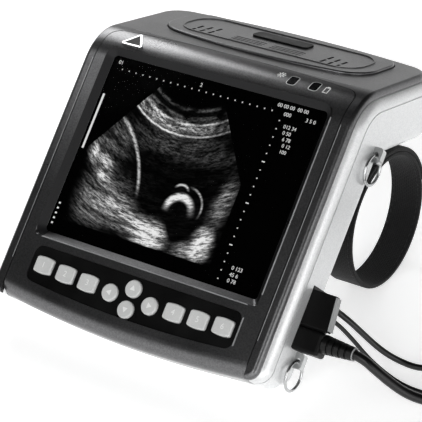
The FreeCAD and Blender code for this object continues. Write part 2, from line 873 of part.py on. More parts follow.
def make_vent_panel():
    blank = vent_shape("vent_blank", "0", "-plate_thickness", "vent_proud")
    soften(blank, "vent_round", lambda e: abs(e.BoundBox.ZMin - number("vent_proud")) < 1e-6)
    on_top(blank)
    slots = []
    for side in ("-", ""):
        for column in range(VENT_COLUMNS):
            for line in range(VENT_ROWS):
                across = "%s(slot_group_place + (%d) * slot_row_pitch)" % (side, line - 1)
                along = "slot_group_front + %d * slot_column_pitch - (%d) * slot_width" % (column, line)
                name = "vent_slot_%d" % len(slots)
                slots.append(top_slot(name, across, along, "slot_width", "slot_length"))
        for line in range(LOUVRES):
            along = "louvre_front + %d * louvre_pitch" % line
            slots.append(
                top_slot("vent_slot_%d" % len(slots), side + "louvre_place", along,
                         "louvre_length", "louvre_width")
            )
    sub_part("vent_panel", cut("vent_panel", blank, *slots))
    half, tall = "name_width / 2", "name_height / 2"
    corners = [
        ("-" + half, "name_place - " + tall),
        (half, "name_place - " + tall),
        (half, "name_place + " + tall),
        ("-" + half, "name_place + " + tall),
    ]
    plate = prism("name_plate", "XY_Plane", "vent_proud", "vent_proud + name_thickness", corners)
    soften(plate, "name_height / 4", upright)
    sub_part("name_plate", on_top(plate))


def screw_places():
    return [
        (side + "boss_spread", level)
        for side in ("-", "")
        for level in ("-boss_lower", "boss_upper")
    ]


def bay_room(name, grow):
    return box(
        name,
        ("bay_inner - (%s)" % grow, "bay_face + overrun"),
        ("bay_front - (%s)" % grow, "bay_back + (%s)" % grow),
        ("-bay_bottom - (%s)" % grow, "-bay_top + (%s)" % grow),
    )


def cheek_groove():
    """Fine line that runs round the cheeks."""
    near, far = "groove_place - groove_width / 2", "groove_place + groove_width / 2"
    radii = OUTER_RADIUS % near, OUTER_RADIUS % far
    bands = [
        shell_layer("groove_" + name, near, radii[0], far, radii[1], inset,
                    "frame_drop - (%s)" % inset, "frame_bow")
        for name, inset in (("whole", "0"), ("core", "groove_depth"))
    ]
    return cut("cheek_groove", *bands)


def make_mid_frame():
    near_radius, far_radius = OUTER_RADIUS % "plate_thickness", "inner_bend_radius"
    blank = shell_layer(
        "frame_blank", "plate_thickness", near_radius, "frame_back", far_radius, "0",
        "frame_drop", "frame_bow"
    )
    crowned = rounded("frame_crowned", blank, "frame_crown", rim_edge("plate_thickness"))
    hollow = shell_layer(
        "frame_hollow", "plate_thickness - overrun", OUTER_RADIUS % "plate_thickness - overrun",
        "frame_back + overrun", far_radius, "frame_crown + frame_wall / 2",
        "frame_drop - frame_wall", "frame_bow"
    )
    ring = cut("frame_ring", crowned, hollow, cheek_groove(), lip_space())
    bosses = [
        cylinder("frame_boss_%d" % index, "y", "boss_radius", "frame_back - boss_depth", "frame_back", place)
        for index, place in enumerate(screw_places())
    ]
    holes = [
        cylinder("frame_hole_%d" % index, "y", "screw_radius + screw_fit",
                 "frame_back - boss_depth - overrun", "frame_back + overrun", place)
        for index, place in enumerate(screw_places())
    ]
    whole = fused("frame_whole", ring, *bosses)
    sub_part("mid_frame", cut("mid_frame", whole, bay_room("frame_bay_room", "led_gap"), *holes))


DISPLAY_STACK = "(plate_thickness + lens_thickness + display_thickness + carrier_thickness)"
BOARD_BACK = "%s + main_board_gap + board_thickness" % DISPLAY_STACK


def standoff_places():
    return [
        (side + "(main_board_width / 2 - standoff_inset)", level)
        for side in ("-", "")
        for level in ("-main_board_drop + standoff_inset",
                      "-main_board_drop + main_board_height - standoff_inset")
    ]


def strap_side(side):
    inner = "strap_outer_edge - strap_width"
    return ("-strap_outer_edge", "-(%s)" % inner) if side == "left" else (inner, "strap_outer_edge")


STRAP_RADIUS = "(strap_inner_radius + strap_thickness)"
FLAP_RADIUS = "(strap_inner_radius + 2 * strap_thickness)"
STRAP_DEPTH = "(body_thickness + strap_gap + %s)" % FLAP_RADIUS
STRAP_HEIGHT = "(corner_height - %s * %s)" % (STRAP_DEPTH, CORNER_SHARE)
CLAMP_FRONT = "(%s - strap_inner_radius + clamp_lift)" % STRAP_DEPTH


def clamp_screw_place(side):
    across = "(strap_outer_edge - strap_width - panel_gap - clamp_foot / 2)"
    return ("-" if side == "left" else "") + across


def lean_angle():
    """Lean that lays the lower back edge and the strap loops on one plane."""
    edge_radius = number("cover_round - rest_land_depth")
    reach = number("%s - (body_thickness - cover_round)" % STRAP_DEPTH)
    rise = number("%s + cover_drop - cover_round" % STRAP_HEIGHT)
    drop = number(STRAP_RADIUS) - edge_radius
    return math.degrees(math.atan2(rise, reach) - math.asin(drop / math.hypot(reach, rise)))


def make_back_cover():
    inset = "(body_width - cover_width) / 2"
    radius = "inner_bend_radius"
    blank = shell_layer(
        "cover_blank", "frame_back", radius, "body_thickness", radius, inset, "cover_drop", "frame_bow"
    )
    eased = rounded("cover_eased", blank, "cover_round", rim_edge("body_thickness"))
    hollow = shell_layer(
        "cover_hollow", "frame_back - overrun", radius, "body_thickness - cover_wall", radius,
        "%s + cover_wall" % inset, "cover_drop - cover_wall", "frame_bow"
    )
    floor = "body_thickness - cover_wall"
    posts = [
        cylinder("cover_post_%d" % index, "y", "boss_radius", "frame_back", floor, place)
        for index, place in enumerate(screw_places())
    ]
    standoffs = [
        cylinder("cover_standoff_%d" % index, "y", "standoff_radius", BOARD_BACK, floor, place)
        for index, place in enumerate(standoff_places())
    ]
    shell = fused("cover_whole", cut("cover_shell", eased, hollow), *posts, *standoffs)
    holes = []
    for index, place in enumerate(screw_places()):
        holes.append(cylinder("cover_hole_%d" % index, "y", "screw_radius + screw_fit",
                              "frame_back - overrun", "body_thickness + overrun", place))
        holes.append(cylinder("cover_sink_%d" % index, "y", "screw_head_radius + head_gap",
                              "body_thickness - screw_head_height", "body_thickness + overrun", place))
    for side in ("left", "right"):
        place = (clamp_screw_place(side), STRAP_HEIGHT)
        holes.append(cylinder("cover_clamp_hole_" + side, "y", "screw_radius + screw_fit",
                              "%s - overrun" % floor, "body_thickness + overrun", place))
    lean = math.radians(lean_angle())
    edge = Vector(0, number("body_thickness - cover_round"), -number("cover_drop - cover_round"))
    out = Vector(0, math.sin(lean), -math.cos(lean))
    wide = ("-body_width", "body_width")
    land = box("rest_land", wide, wide, ("-body_width", "0"))
    turn = Rotation(Vector(1, 0, 0), math.degrees(lean))
    foot = edge + out * number("cover_round - rest_land_depth")
    span = number("body_width")
    place_freely(land, Placement(foot, turn).multiply(Placement(Vector(-span, -span, -span), Rotation())))
    sub_part("back_cover", cut("back_cover", shell, bay_room("cover_bay_room", "led_gap"), land, *holes))


def make_inside():
    wide, tall = "window_width / 2 + lens_margin", "window_height / 2 + lens_margin"
    front = "plate_thickness"
    for name, thick, margin in (
        ("window_lens", "lens_thickness", "0"),
        ("display_panel", "display_thickness", "0"),
        ("display_carrier", "carrier_thickness", "carrier_margin"),
    ):
        half_wide, half_tall = "(%s + %s)" % (wide, margin), "(%s)" % tall
        back = "%s + %s" % (front, thick)
        sub_part(name, box(name, ("-" + half_wide, half_wide), (front, back), ("-" + half_tall, half_tall)))
        front = back
    half = "main_board_width / 2"
    span = ("-main_board_drop", "main_board_height - main_board_drop")
    board_front = "%s - board_thickness" % BOARD_BACK
    sub_part("main_board", box("main_board", ("-" + half, half), (board_front, BOARD_BACK), span))
    half = "battery_width / 2"
    low = "-main_board_drop + main_board_height / 2 - battery_height / 2"
    battery = box(
        "battery_block",
        ("-" + half, half),
        ("%s + battery_gap" % BOARD_BACK, "body_thickness - cover_wall - flange_gap"),
        (low, "%s + battery_height" % low),
    )
    sub_part("battery_pack", rounded(
        "battery_pack", battery, "cover_wall", lambda e: straight(e, Vector(1, 0, 0))
    ))


def make_screws():
    for index, place in enumerate(screw_places(), 1):
        name = "cover_screw_%d" % index
        head_front = "body_thickness - screw_head_height"
        head = cylinder(name + "_head", "y", "screw_head_radius", head_front,
                        "body_thickness - screw_fit", place)
        shank = cylinder(name + "_shank", "y", "screw_radius", "%s - screw_length" % head_front,
                         head_front, place)
        sub_part(name, fused(name, head, shank))


# Lugs and rings
def lug_places():
    return {
        "upper_left": ("-", "lug_upper"),
        "upper_right": ("", "lug_upper"),
        "lower_left": ("-", "-lug_lower"),
        "lower_right": ("", "-lug_lower"),
    }


LUG_FACE = "cover_width / 2"
RING_PLACE = "(%s + lug_eye_reach)" % LUG_FACE


def make_lugs_and_rings():
    for name, (side, level) in lug_places().items():
        span = (LUG_FACE, "%s + lug_reach" % LUG_FACE)
        if side:
            span = tuple("-(%s)" % place for place in reversed(span))
        depth = ("lug_depth - lug_thickness / 2", "lug_depth + lug_thickness / 2")
        tall = ("%s - lug_height / 2" % level, "%s + lug_height / 2" % level)
        block = box("lug_block_" + name, span, depth, tall)
        outer = number(span[0] if side else span[1])
        eased = rounded(
            "lug_eased_" + name, block, "lug_reach / 3",
            lambda e: straight(e, Vector(0, 1, 0)) and abs(middle(e).x - outer) < 1e-6
        )
        eye = cylinder("lug_eye_" + name, "y", "lug_eye_radius", "lug_depth - lug_thickness",
                       "lug_depth + lug_thickness", (side + RING_PLACE, level))
        sub_part("lug_" + name, cut("lug_" + name, eased, eye))
        ring = doc.addObject("Part::Torus", "ring_" + name)
        ring.Placement = Placement(Vector(), Rotation(Vector(0, 1, 0), 90))
        bind(ring, "Radius1", "ring_radius")
        bind(ring, "Radius2", "ring_wire / 2")
        bind(ring, "Placement.Base.x", side + RING_PLACE)
        bind(ring, "Placement.Base.y", "lug_depth")
        bind(ring, "Placement.Base.z", "%s - ring_radius" % level)
        sub_part("ring_" + name, ring)


# Straps and clamps
def sector(name, span, inner, outer, start, end):
    """Part of a ring round the strap's axis between two angles, from the depth axis towards up."""
    corners = []
    for radius, angle in ((outer, start), (outer, end), (inner, end), (inner, start)):
        corners.append((
            "%s + %s * cos(%s)" % (STRAP_DEPTH, radius, angle),
            "%s + %s * sin(%s)" % (STRAP_HEIGHT, radius, angle),
        ))
    arcs = {0: (outer, 1), 2: (inner, -1)}
    return prism(name, "YZ_Plane", span[0], span[1], corners, arcs)


def make_straps():
    for side in ("left", "right"):
        span = strap_side(side)
        centre = (STRAP_DEPTH, STRAP_HEIGHT)
        loop = cut(
            "strap_loop_" + side,
            cylinder("strap_outer_" + side, "x", STRAP_RADIUS, span[0], span[1], centre),
            cylinder("strap_inner_" + side, "x", "strap_inner_radius", "%s - overrun" % span[0],
                     "%s + overrun" % span[1], centre),
        )
        flap = sector("strap_flap_" + side, span, STRAP_RADIUS, FLAP_RADIUS,
                      "flap_start_angle", "flap_end_angle")
        sub_part("strap_" + side, fused("strap_" + side, loop, flap))
        edge = "strap_outer_edge - strap_width"
        foot = (edge + " - panel_gap - clamp_foot", edge + " - panel_gap")
        plate = (foot[0], edge + " + clamp_reach")
        if side == "left":
            foot = tuple("-(%s)" % place for place in reversed(foot))
            plate = tuple("-(%s)" % place for place in reversed(plate))
        tall = ("%s - clamp_height / 2" % STRAP_HEIGHT, "%s + clamp_height / 2" % STRAP_HEIGHT)
        clamp_back = "%s + clamp_thickness" % CLAMP_FRONT
        bar = box("clamp_bar_" + side, plate, (CLAMP_FRONT, clamp_back), tall)
        block = box("clamp_foot_" + side, foot, ("body_thickness", CLAMP_FRONT), tall)
        place = (clamp_screw_place(side), STRAP_HEIGHT)
        hole = cylinder("clamp_hole_" + side, "y", "screw_radius + screw_fit", "body_thickness - overrun",
                        "%s + overrun" % clamp_back, place)
        whole = fused("clamp_whole_" + side, bar, block)
        sub_part("strap_clamp_" + side, cut("strap_clamp_" + side, whole, hole))
        head = cylinder("clamp_head_" + side, "y", "screw_head_radius", clamp_back,
                        "%s + screw_head_height" % clamp_back, place)
        shank = cylinder("clamp_shank_" + side, "y", "screw_radius", "%s - clamp_screw_length" % clamp_back,
                         clamp_back, place)
        sub_part("clamp_screw_" + side, fused("clamp_screw_" + side, head, shank))


# Connector bay and plugs
PLUG_END = "(bay_face + probe_plug_reach)"
PROBE_AXIS = ("relief_depth", "-relief_drop")


def make_connectors():
    sub_part("connector_bay", box("connector_bay", ("bay_inner", "bay_face"), ("bay_front", "bay_back"),
                                  ("-bay_bottom", "-bay_top")))
    near, far = "bay_face + upper_plug_reach", "bay_face + upper_plug_reach + upper_plug_slant"
    corners = [
        ("bay_face", "-upper_plug_bottom"), (far, "-upper_plug_bottom"),
        (near, "-upper_plug_top"), ("bay_face", "-upper_plug_top"),
    ]
    flap = prism("upper_plug", "XZ_Plane", "upper_plug_front", "upper_plug_back", corners)
    soften(flap, "upper_plug_round", lambda e: straight(e, Vector(1, 0, 0)))
    sub_part("upper_plug", flap)
    inset = "upper_plug_round"
    slide = "upper_plug_slant * %s / (upper_plug_bottom - upper_plug_top)" % inset
    low, high = "-upper_plug_bottom + " + inset, "-upper_plug_top - " + inset
    corners = [
        ("%s - %s" % (far, slide), low), ("%s - %s + end_plate_thickness" % (far, slide), low),
        ("%s + %s + end_plate_thickness" % (near, slide), high), ("%s + %s" % (near, slide), high),
    ]
    sub_part("plug_end_plate", prism(
        "plug_end_plate", "XZ_Plane", "upper_plug_front", "upper_plug_back", corners
    ))
    on_bay = number("bay_face")
    block = box("probe_plug_block", ("bay_face", PLUG_END), ("probe_plug_front", "probe_plug_back"),
                ("-probe_plug_bottom", "-probe_plug_top"))
    sub_part("probe_plug", rounded(
        "probe_plug", block, "probe_plug_round", lambda e: e.BoundBox.XMax > on_bay + 1e-6
    ))
    make_strain_relief()


def make_strain_relief():
    """Ribbed cone on the lower plug."""
    sleeve = cylinder("relief_cone", "x", "relief_large_radius", PLUG_END, "%s + relief_length" % PLUG_END,
                      PROBE_AXIS, "relief_small_radius")
    pitch = "relief_length / %d" % (RELIEF_RIBS + 1)
    grooves = []
    for order in range(1, RELIEF_RIBS + 1):
        start = "%s + %d * %s - relief_rib_width / 2" % (PLUG_END, order, pitch)
        outer = cylinder("relief_outer_%d" % order, "x", "2 * relief_large_radius", start,
                         "%s + relief_rib_width" % start, PROBE_AXIS)
        slope = "(relief_large_radius - relief_small_radius) * %d / %d" % (order, RELIEF_RIBS + 1)
        core = cylinder("relief_core_%d" % order, "x", "relief_large_radius - %s - relief_rib_depth" % slope,
                        "%s - overrun" % start, "%s + relief_rib_width + overrun" % start, PROBE_AXIS)
        grooves.append(cut("relief_groove_%d" % order, outer, core))
    sub_part("strain_relief", cut("strain_relief", sleeve, *grooves))


make_front_plate()
make_bend_trim()
make_keys()
make_keypad_parts()
make_outer_shell()
make_vent_panel()
make_mid_frame()
make_back_cover()
make_inside()
make_screws()
make_lugs_and_rings()
make_straps()
make_connectors()
doc.recompute()

# One placement stands every piece of the unit on the table
def stand(made, placement):
    """Lean a finished piece; its own place is kept inside the new placement."""
    place_freely(made, placement.multiply(made.Placement))


lean = lean_angle()
turn = Rotation(Vector(1, 0, 0), -lean)
foot_edge = Vector(0, number("body_thickness - cover_round"), -number("cover_drop - cover_round"))
down = Vector(0, math.sin(math.radians(lean)), -math.cos(math.radians(lean)))
foot_low = foot_edge + down * number("cover_round - rest_land_depth")
leaned = Placement(turn.multVec(foot_low * -1), turn)
for made in SUB_PARTS:
    stand(made, leaned)
doc.recompute()
spans = [made.Shape.optimalBoundingBox() for made in SUB_PARTS if made.Label not in CORD_PIECES]
centre = Vector(0, -(min(b.YMin for b in spans) + max(b.YMax for b in spans)) / 2, 0)
centred = Placement(centre, Rotation())
for made in SUB_PARTS:
    made.Placement = centred.multiply(made.Placement)
standing = centred.multiply(leaned)
doc.recompute()


# Leads, in table axes: X right, Y back, Z up from the table
def exit_from(place, way):
    """A lead's exit and direction, given in panel axes, as they stand on the table."""
    return standing.multVec(place), standing.Rotation.multVec(way)


def tube(label, points, size):
    """Round tube on straight runs joined by tangent arcs as large as the runs allow."""
    edges, radii = [], []
    last = points[0]
    for before, corner, after in zip(points, points[1:], points[2:]):
        back, ahead = (before - corner), (after - corner)
        turn_angle = math.pi - back.getAngle(ahead)
        reach = ARC_SHARE * min(back.Length, ahead.Length)
        back.normalize()
        ahead.normalize()
        start, end = corner + back * reach, corner + ahead * reach
        radius = reach / math.tan(turn_angle / 2)
        inward = (back + ahead).normalize()
        crest = corner + inward * (radius / math.cos(turn_angle / 2) - radius)
        edges.append(Part.LineSegment(last, start).toShape())
        edges.append(Part.Arc(start, crest, end).toShape())
        radii.append(radius)
        last = end
    edges.append(Part.LineSegment(last, points[-1]).toShape())
    made = pipe(label, Part.Wire(edges), size, points[1] - points[0])
    print(label, "radii", " ".join("%.0f" % radius for radius in radii))
    return made


def pipe(label, path, size, way):
    section = Part.Wire(Part.Circle(path.Vertexes[0].Point, way, size / 2).toShape())
    made = doc.addObject("Part::Feature", label)
    made.Shape = path.makePipeShell([section], True, False)
    made.Placement = Placement()
    share = made.Shape.Volume / (math.pi * (size / 2) ** 2 * path.Length)
    print(label, "length %.0f, volume over section times length %.4f" % (path.Length, share))
    return sub_part(label, made)


def biarc(start, start_way, end, end_way):
    """Two tangent arcs between two points with given directions."""
    chord = end - start
    total = start_way + end_way
    square = 2 * (1 - start_way.dot(end_way))
    across = chord.dot(total)
    reach = (math.sqrt(across ** 2 + square * chord.dot(chord)) - across) / square
    join = (start + end + (start_way - end_way) * reach) * 0.5
    return [half_arc(start, start_way, join), half_arc(end, end_way * -1, join)]


def half_arc(start, way, end):
    """Arc that leaves start along way and reaches end."""
    chord = end - start
    along = chord.normalize() if chord.Length else chord
    length = (end - start).Length
    side = (way - along * way.dot(along)).normalize()
    bulge = length / 2 * math.tan(way.getAngle(along) / 2)
    return Part.Arc(start, start + along * (length / 2) + side * bulge, end).toShape()


def coil(label, centre, entry_angle, hand, inner, turns, turns_out, size, low, entry):
    """Loops that spiral in on the table, climb in a half turn and spiral out again on top."""
    pitch = size + number("coil_turn_gap")
    rise = size + number("layer_gap")
    outer = inner + pitch * turns
    quarters = [("in", order / 4) for order in range(4 * turns + 1)]
    quarters += [("climb", order / 4) for order in (1, 2)]
    quarters += [("out", order / 4) for order in range(1, round(4 * turns_out) + 1)]
    places = []
    for order, (stage, turned) in enumerate(quarters):
        radius = {"in": outer - pitch * turned, "climb": inner, "out": inner + pitch * turned}[stage]
        slope = {"in": -pitch, "climb": 0, "out": pitch}[stage] / (2 * math.pi)
        height = {"in": 0, "climb": rise * turned * 2, "out": rise}[stage]
        climb = CLIMB_SHARE * rise / math.pi if (stage, turned) == ("climb", QUARTER) else 0
        angle = math.radians(entry_angle) + hand * order * math.pi / 2
        radial = Vector(math.cos(angle), math.sin(angle), 0)
        round_way = Vector(-math.sin(angle), math.cos(angle), 0) * hand
        way = radial * slope + round_way * radius + Vector(0, 0, climb)
        places.append((centre + radial * radius + Vector(0, 0, low + height), way.normalize()))
    # the first and last quarters meet the straight ends square on
    for end in (0, -1):
        angle = math.radians(entry_angle) + hand * (0 if end == 0 else len(places) - 1) * math.pi / 2
        places[end] = (places[end][0], Vector(-math.sin(angle), math.cos(angle), 0) * hand)
    edges = [Part.LineSegment(places[0][0] - places[0][1] * entry, places[0][0]).toShape()]
    for (start, start_way), (end, end_way) in zip(places, places[1:]):
        first, second = biarc(start, start_way, end, end_way)
        edges += [first, second]
    edges.append(Part.LineSegment(places[-1][0], places[-1][0] + places[-1][1] * size).toShape())
    path = Part.Wire(Part.__sortEdges__(edges))
    pipe(label, path, size, places[0][1])
    print(label, "least gap to itself %.2f" % self_gap(path, size))
    return places[-1][0] + places[-1][1] * size, places[-1][1], outer


def self_gap(path, size):
    """Least distance between turns, measured on points along the path."""
    step = size / 2
    points = path.discretize(Distance=step)
    skip = int(3 * size / step)
    return min(
        point.distanceToPoint(other)
        for index, point in enumerate(points)
        for other in points[index + skip:]
    ) - size


def make_tie(label, centre, angle, inner, outer, size, low):
    """Flat band round the loops of a coil."""
    gap, thick = number("tie_gap"), number("tie_thickness")
    lift = number("tie_lift")
    wide = number("tie_width")
    half = size / 2
    near, far = inner - half - gap, outer + half + gap
    top = low + size + number("layer_gap") + half + lift
    bottom = low - half - lift
    corner = Vector(near - thick, -wide / 2, bottom - thick)
    band = Part.makeBox(far - near + 2 * thick, wide, top - bottom + 2 * thick, corner)
    hole = Part.makeBox(far - near, 2 * wide, top - bottom, Vector(near, -wide, bottom))
    made = doc.addObject("Part::Feature", label)
    made.Shape = band.cut(hole)
    made.Placement = Placement(centre, Rotation(Vector(0, 0, 1), angle))
    return sub_part(label, made)


ARC_SHARE = 0.45
CLIMB_SHARE = 1.5
QUARTER = 0.25
SECOND_LAYER = 1.5
ROUND_NOSE = 1.0001

# The probe lead: plug, free stretch, sleeve, coil with tie, probe
probe_size = number("probe_lead_size")
power_size = number("power_lead_size")
thin_size = number("thin_lead_size")
tie_room = number("tie_thickness + tie_lift")
aside = Vector(number("bay_face - route_face"), 0, 0)
probe_low = probe_size / 2 + tie_room
power_low = power_size / 2 + tie_room
relief_tip = Vector(number("%s + relief_length" % PLUG_END), number(PROBE_AXIS[0]), number(PROBE_AXIS[1]))
probe_exit, probe_way = exit_from(relief_tip, Vector(1, 0, 0))
PROBE_ROUTE = [
    (113.6, -51.1, 20.1), (119.2, -50.3, 15.2), (125.6, -48.2, 9.9), (132.6, -45.2, 5.9), (140.5, -41.2, 3.7),
    (147.8, -38.4, 3.4), (154.6, -38, 3.4),
]
route = [Vector(*place) + aside for place in PROBE_ROUTE]
sleeve_start = Vector(route[-1].x, route[-1].y, probe_low)
route[-2].z = route[-1].z = probe_low
tube("probe_lead", [probe_exit, probe_exit + probe_way * number("lead_out")] + route, probe_size)
sleeve_middle = sleeve_start + Vector(0, number("sleeve_lead_shift"), 0)
block = box("sleeve_block", ("0", "sleeve_length"), ("-sleeve_width / 2", "sleeve_width / 2"),
            ("0", "2 * (probe_lead_size / 2 + tie_thickness + tie_lift)"))
sleeve = rounded("lead_sleeve", block, "sleeve_round", lambda e: straight(e, Vector(1, 0, 0)))
sleeve.Placement = Placement(Vector(sleeve_middle.x, sleeve_middle.y, 0), Rotation())
sub_part("lead_sleeve", sleeve)
coil_start = sleeve_start + Vector(number("sleeve_length + coil_entry"), 0, 0)
probe_inner = number("probe_coil_inner")
probe_outer = probe_inner + (probe_size + number("coil_turn_gap")) * PROBE_COIL_TURNS
probe_centre = Vector(coil_start.x, coil_start.y + probe_outer, 0)
probe_end, probe_end_way, _ = coil(
    "probe_coil", probe_centre, -90, 1, probe_inner, PROBE_COIL_TURNS, PROBE_COIL_TURNS - QUARTER,
    probe_size, probe_low, number("coil_entry")
)
make_tie("probe_tie", probe_centre, 135, probe_inner, probe_outer, probe_size, probe_low)
neck = "probe_neck_width / 2"
half = "probe_width / 2"
stem_end = "probe_stem_length"
probe_tip = "(probe_stem_length + probe_length)"
shoulder = "%s - %s" % (probe_tip, half)
flare = "probe_stem_length + probe_length * probe_neck_share"
corners = [("-" + neck, stem_end), (neck, stem_end), (half, flare), (half, shoulder)]
corners += [("-" + half, shoulder), ("-" + half, flare)]
axis_height = "(%s * probe_lead_size + tie_thickness + tie_lift + layer_gap)" % SECOND_LAYER
nose = {3: ("%s * %s" % (half, ROUND_NOSE), 1)}
body = prism("probe_grip", "XY_Plane", "0", "2 * " + axis_height, corners, nose)
soften(body, "probe_round", lambda e: not straight(e, Vector(0, 0, 1)))
stem = cylinder("probe_stem", "y", "probe_stem_size / 2", "0", "%s + overrun" % stem_end, ("0", axis_height))
probe = fused("probe_body", body, stem)
probe.Placement = Placement(Vector(probe_end.x, probe_end.y, 0), Rotation(Vector(0, 1, 0), probe_end_way))
sub_part("probe_body", probe)

# The power lead: plug, free stretch, coil with tie, round plug
back_way = Vector(0, 1, 0)
power_exit, power_way = exit_from(
    Vector(number("bay_face + power_exit_reach"), number("upper_plug_back"), -number("power_exit_drop")),
    back_way
)
POWER_ROUTE = [
    (86, -32.7, 24.4), (90.1, -30.7, 19.8), (96.8, -30.2, 15.4), (103.2, -28.9, 10.2), (110, -27.2, 6),
    (117, -25.2, 3.6), (123.6, -21.2, 2.6), (127.6, -14.6, 2.4), (128.9, -6.2, 2.4), (128.4, 3, 2.4),
    (127, 12.5, 2.4), (125.6, 22.5, 2.4), (125.4, 33, 2.4), (126, 44, 2.5), (126, 54.5, 2.6),
    (126, 64.5, 2.6),
]
route = [Vector(*place) + aside for place in POWER_ROUTE]
route[-2].z = route[-1].z = power_low
tube("power_lead", [power_exit, power_exit + power_way * number("power_lead_out")] + route, power_size)
power_inner = number("power_coil_inner")
power_outer = power_inner + (power_size + number("coil_turn_gap")) * POWER_COIL_TURNS
power_centre = Vector(route[-1].x + power_outer, route[-1].y + power_size, 0)
power_end, power_end_way, _ = coil(
    "power_coil", power_centre, 180, -1, power_inner, POWER_COIL_TURNS, POWER_COIL_TURNS - QUARTER,
    power_size, power_low, power_size
)
make_tie("power_tie", power_centre, -45, power_inner, power_outer, power_size, power_low)
grip_start = "tip_stem_length"
grip_end = "(tip_stem_length + tip_grip_length)"
stem = cylinder("tip_stem", "x", "tip_stem_size / 2", "0", grip_start, ("0", "0"))
grip_radius = "%s * power_lead_size + tie_thickness + tie_lift + layer_gap" % SECOND_LAYER
grip = cylinder("tip_grip", "x", grip_radius, grip_start, grip_end, ("0", "0"))
barrel_end = "%s + tip_barrel_length" % grip_end
barrel = cylinder("tip_barrel", "x", "tip_barrel_size / 2", grip_end, barrel_end, ("0", "0"))
tip = fused("power_tip", stem, grip, barrel)
tip.Placement = Placement(power_end, Rotation(Vector(1, 0, 0), power_end_way))
sub_part("power_tip", tip)

# The thin lead joins the probe lead in the sleeve
thin_exit, thin_way = exit_from(
    Vector(number("bay_face + thin_exit_reach"), number("upper_plug_back"), -number("thin_exit_drop")),
    back_way
)
THIN_ROUTE = [
    (87.6, -37.8, 23), (90.2, -36.5, 19), (92.9, -35.1, 14.5), (95.3, -33.9, 10.2), (98.6, -33.2, 6.2),
    (104.8, -33.9, 3), (114, -36, 1.4), (122.5, -37, 1.2), (131.5, -36.2, 1.2), (141, -34.9, 2.4),
    (147.9, -34.3, 3.4), (154.6, -34.3, 3.4),
]
route = [Vector(*place) + aside for place in THIN_ROUTE]
tube("thin_lead", [thin_exit, thin_exit + thin_way * number("thin_lead_out")] + route, thin_size)
doc.recompute()

# Checks and files
os.makedirs("parts", exist_ok=True)
for made in doc.Objects:
    if "Invalid" in made.State or "Error" in made.State:
        raise RuntimeError("%s did not build: %s" % (made.Label, made.State))
for made in SUB_PARTS:
    if made.Shape.isNull() or not made.Shape.isValid():
        raise RuntimeError("%s has no valid shape" % made.Label)
for made in SUB_PARTS:
    made.Shape.exportStep("parts/%s.step" % made.Label)
    size = made.Shape.BoundBox
    print(made.Label, len(made.Shape.Solids), "%.1f %.1f %.1f .. %.1f %.1f %.1f" % (
        size.XMin, size.YMin, size.ZMin, size.XMax, size.YMax, size.ZMax))
print("lean %.4f, standing at %.4f %.4f" % (lean, standing.Base.y, standing.Base.z))
print("strap axis %.4f %.4f" % (number(STRAP_DEPTH), number(STRAP_HEIGHT)))
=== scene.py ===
# %% [markdown]
# A strapped-on scanner unit, dressed in Blender
#
# The unit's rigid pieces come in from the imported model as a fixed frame, in metres. This lesson gives
# them their finishes and adds what a solid model leaves out: the picture on the screen, the marks on
# the keys, woven straps and soft leads.

# %% Load the frame
import math

import bpy
from mathutils import Matrix, Vector


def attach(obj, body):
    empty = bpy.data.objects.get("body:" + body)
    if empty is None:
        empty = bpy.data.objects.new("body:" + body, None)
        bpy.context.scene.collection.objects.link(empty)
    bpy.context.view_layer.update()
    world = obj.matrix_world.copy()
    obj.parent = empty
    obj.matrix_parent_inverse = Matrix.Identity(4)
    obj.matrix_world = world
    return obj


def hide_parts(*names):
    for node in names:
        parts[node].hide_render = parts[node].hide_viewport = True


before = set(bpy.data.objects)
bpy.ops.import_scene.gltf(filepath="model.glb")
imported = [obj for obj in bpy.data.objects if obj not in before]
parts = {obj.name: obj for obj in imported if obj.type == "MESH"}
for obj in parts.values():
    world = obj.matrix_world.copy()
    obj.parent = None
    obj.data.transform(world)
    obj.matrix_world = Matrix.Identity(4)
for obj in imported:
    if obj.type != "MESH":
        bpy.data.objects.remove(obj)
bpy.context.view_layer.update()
print("frame:", len(parts), "nodes")

# %% [markdown]
# The front panel leans back on its lower edge, so places on it are easier to give along the panel: to
# the right, back into the unit, and up the face, in millimetres from the middle of the screen window.
# One matrix takes such a place to where it stands on the table. Two helpers turn a flat sign to lie on
# the front, or on the round bend between the front and the top.

# %% Panel axes
LEAN = math.radians(48.3663)
STAND = Vector((0, -25.2857, 70.0434))
PANEL = Matrix.Scale(0.001, 4) @ Matrix.Translation(STAND) @ Matrix.Rotation(-LEAN, 4, "X")
FACE_TURN = math.pi / 2 - LEAN
BEND_RADIUS = 24
BEND_START = 39.02


def on_front(across, depth, up):
    """Where a sign drawn flat in millimetres lies on the front."""
    place = PANEL @ Vector((across, depth, up))
    return Matrix.Translation(place) @ Matrix.Rotation(FACE_TURN, 4, "X")


def on_bend(across, angle, proud):
    """The same on the bend, at an angle in degrees from the front."""
    turn = math.radians(angle)
    reach = BEND_RADIUS + proud
    up = BEND_START + reach * math.sin(turn)
    place = PANEL @ Vector((across, BEND_RADIUS - reach * math.cos(turn), up))
    return Matrix.Translation(place) @ Matrix.Rotation(FACE_TURN - turn, 4, "X")


print("middle of the window:", [round(x, 4) for x in PANEL @ Vector((0, 0, 0))])

# %% [markdown]
# The camera stands where the photograph was taken from: a long lens, high on the right. Its place was
# worked out from the corners of the screen window and the keys.

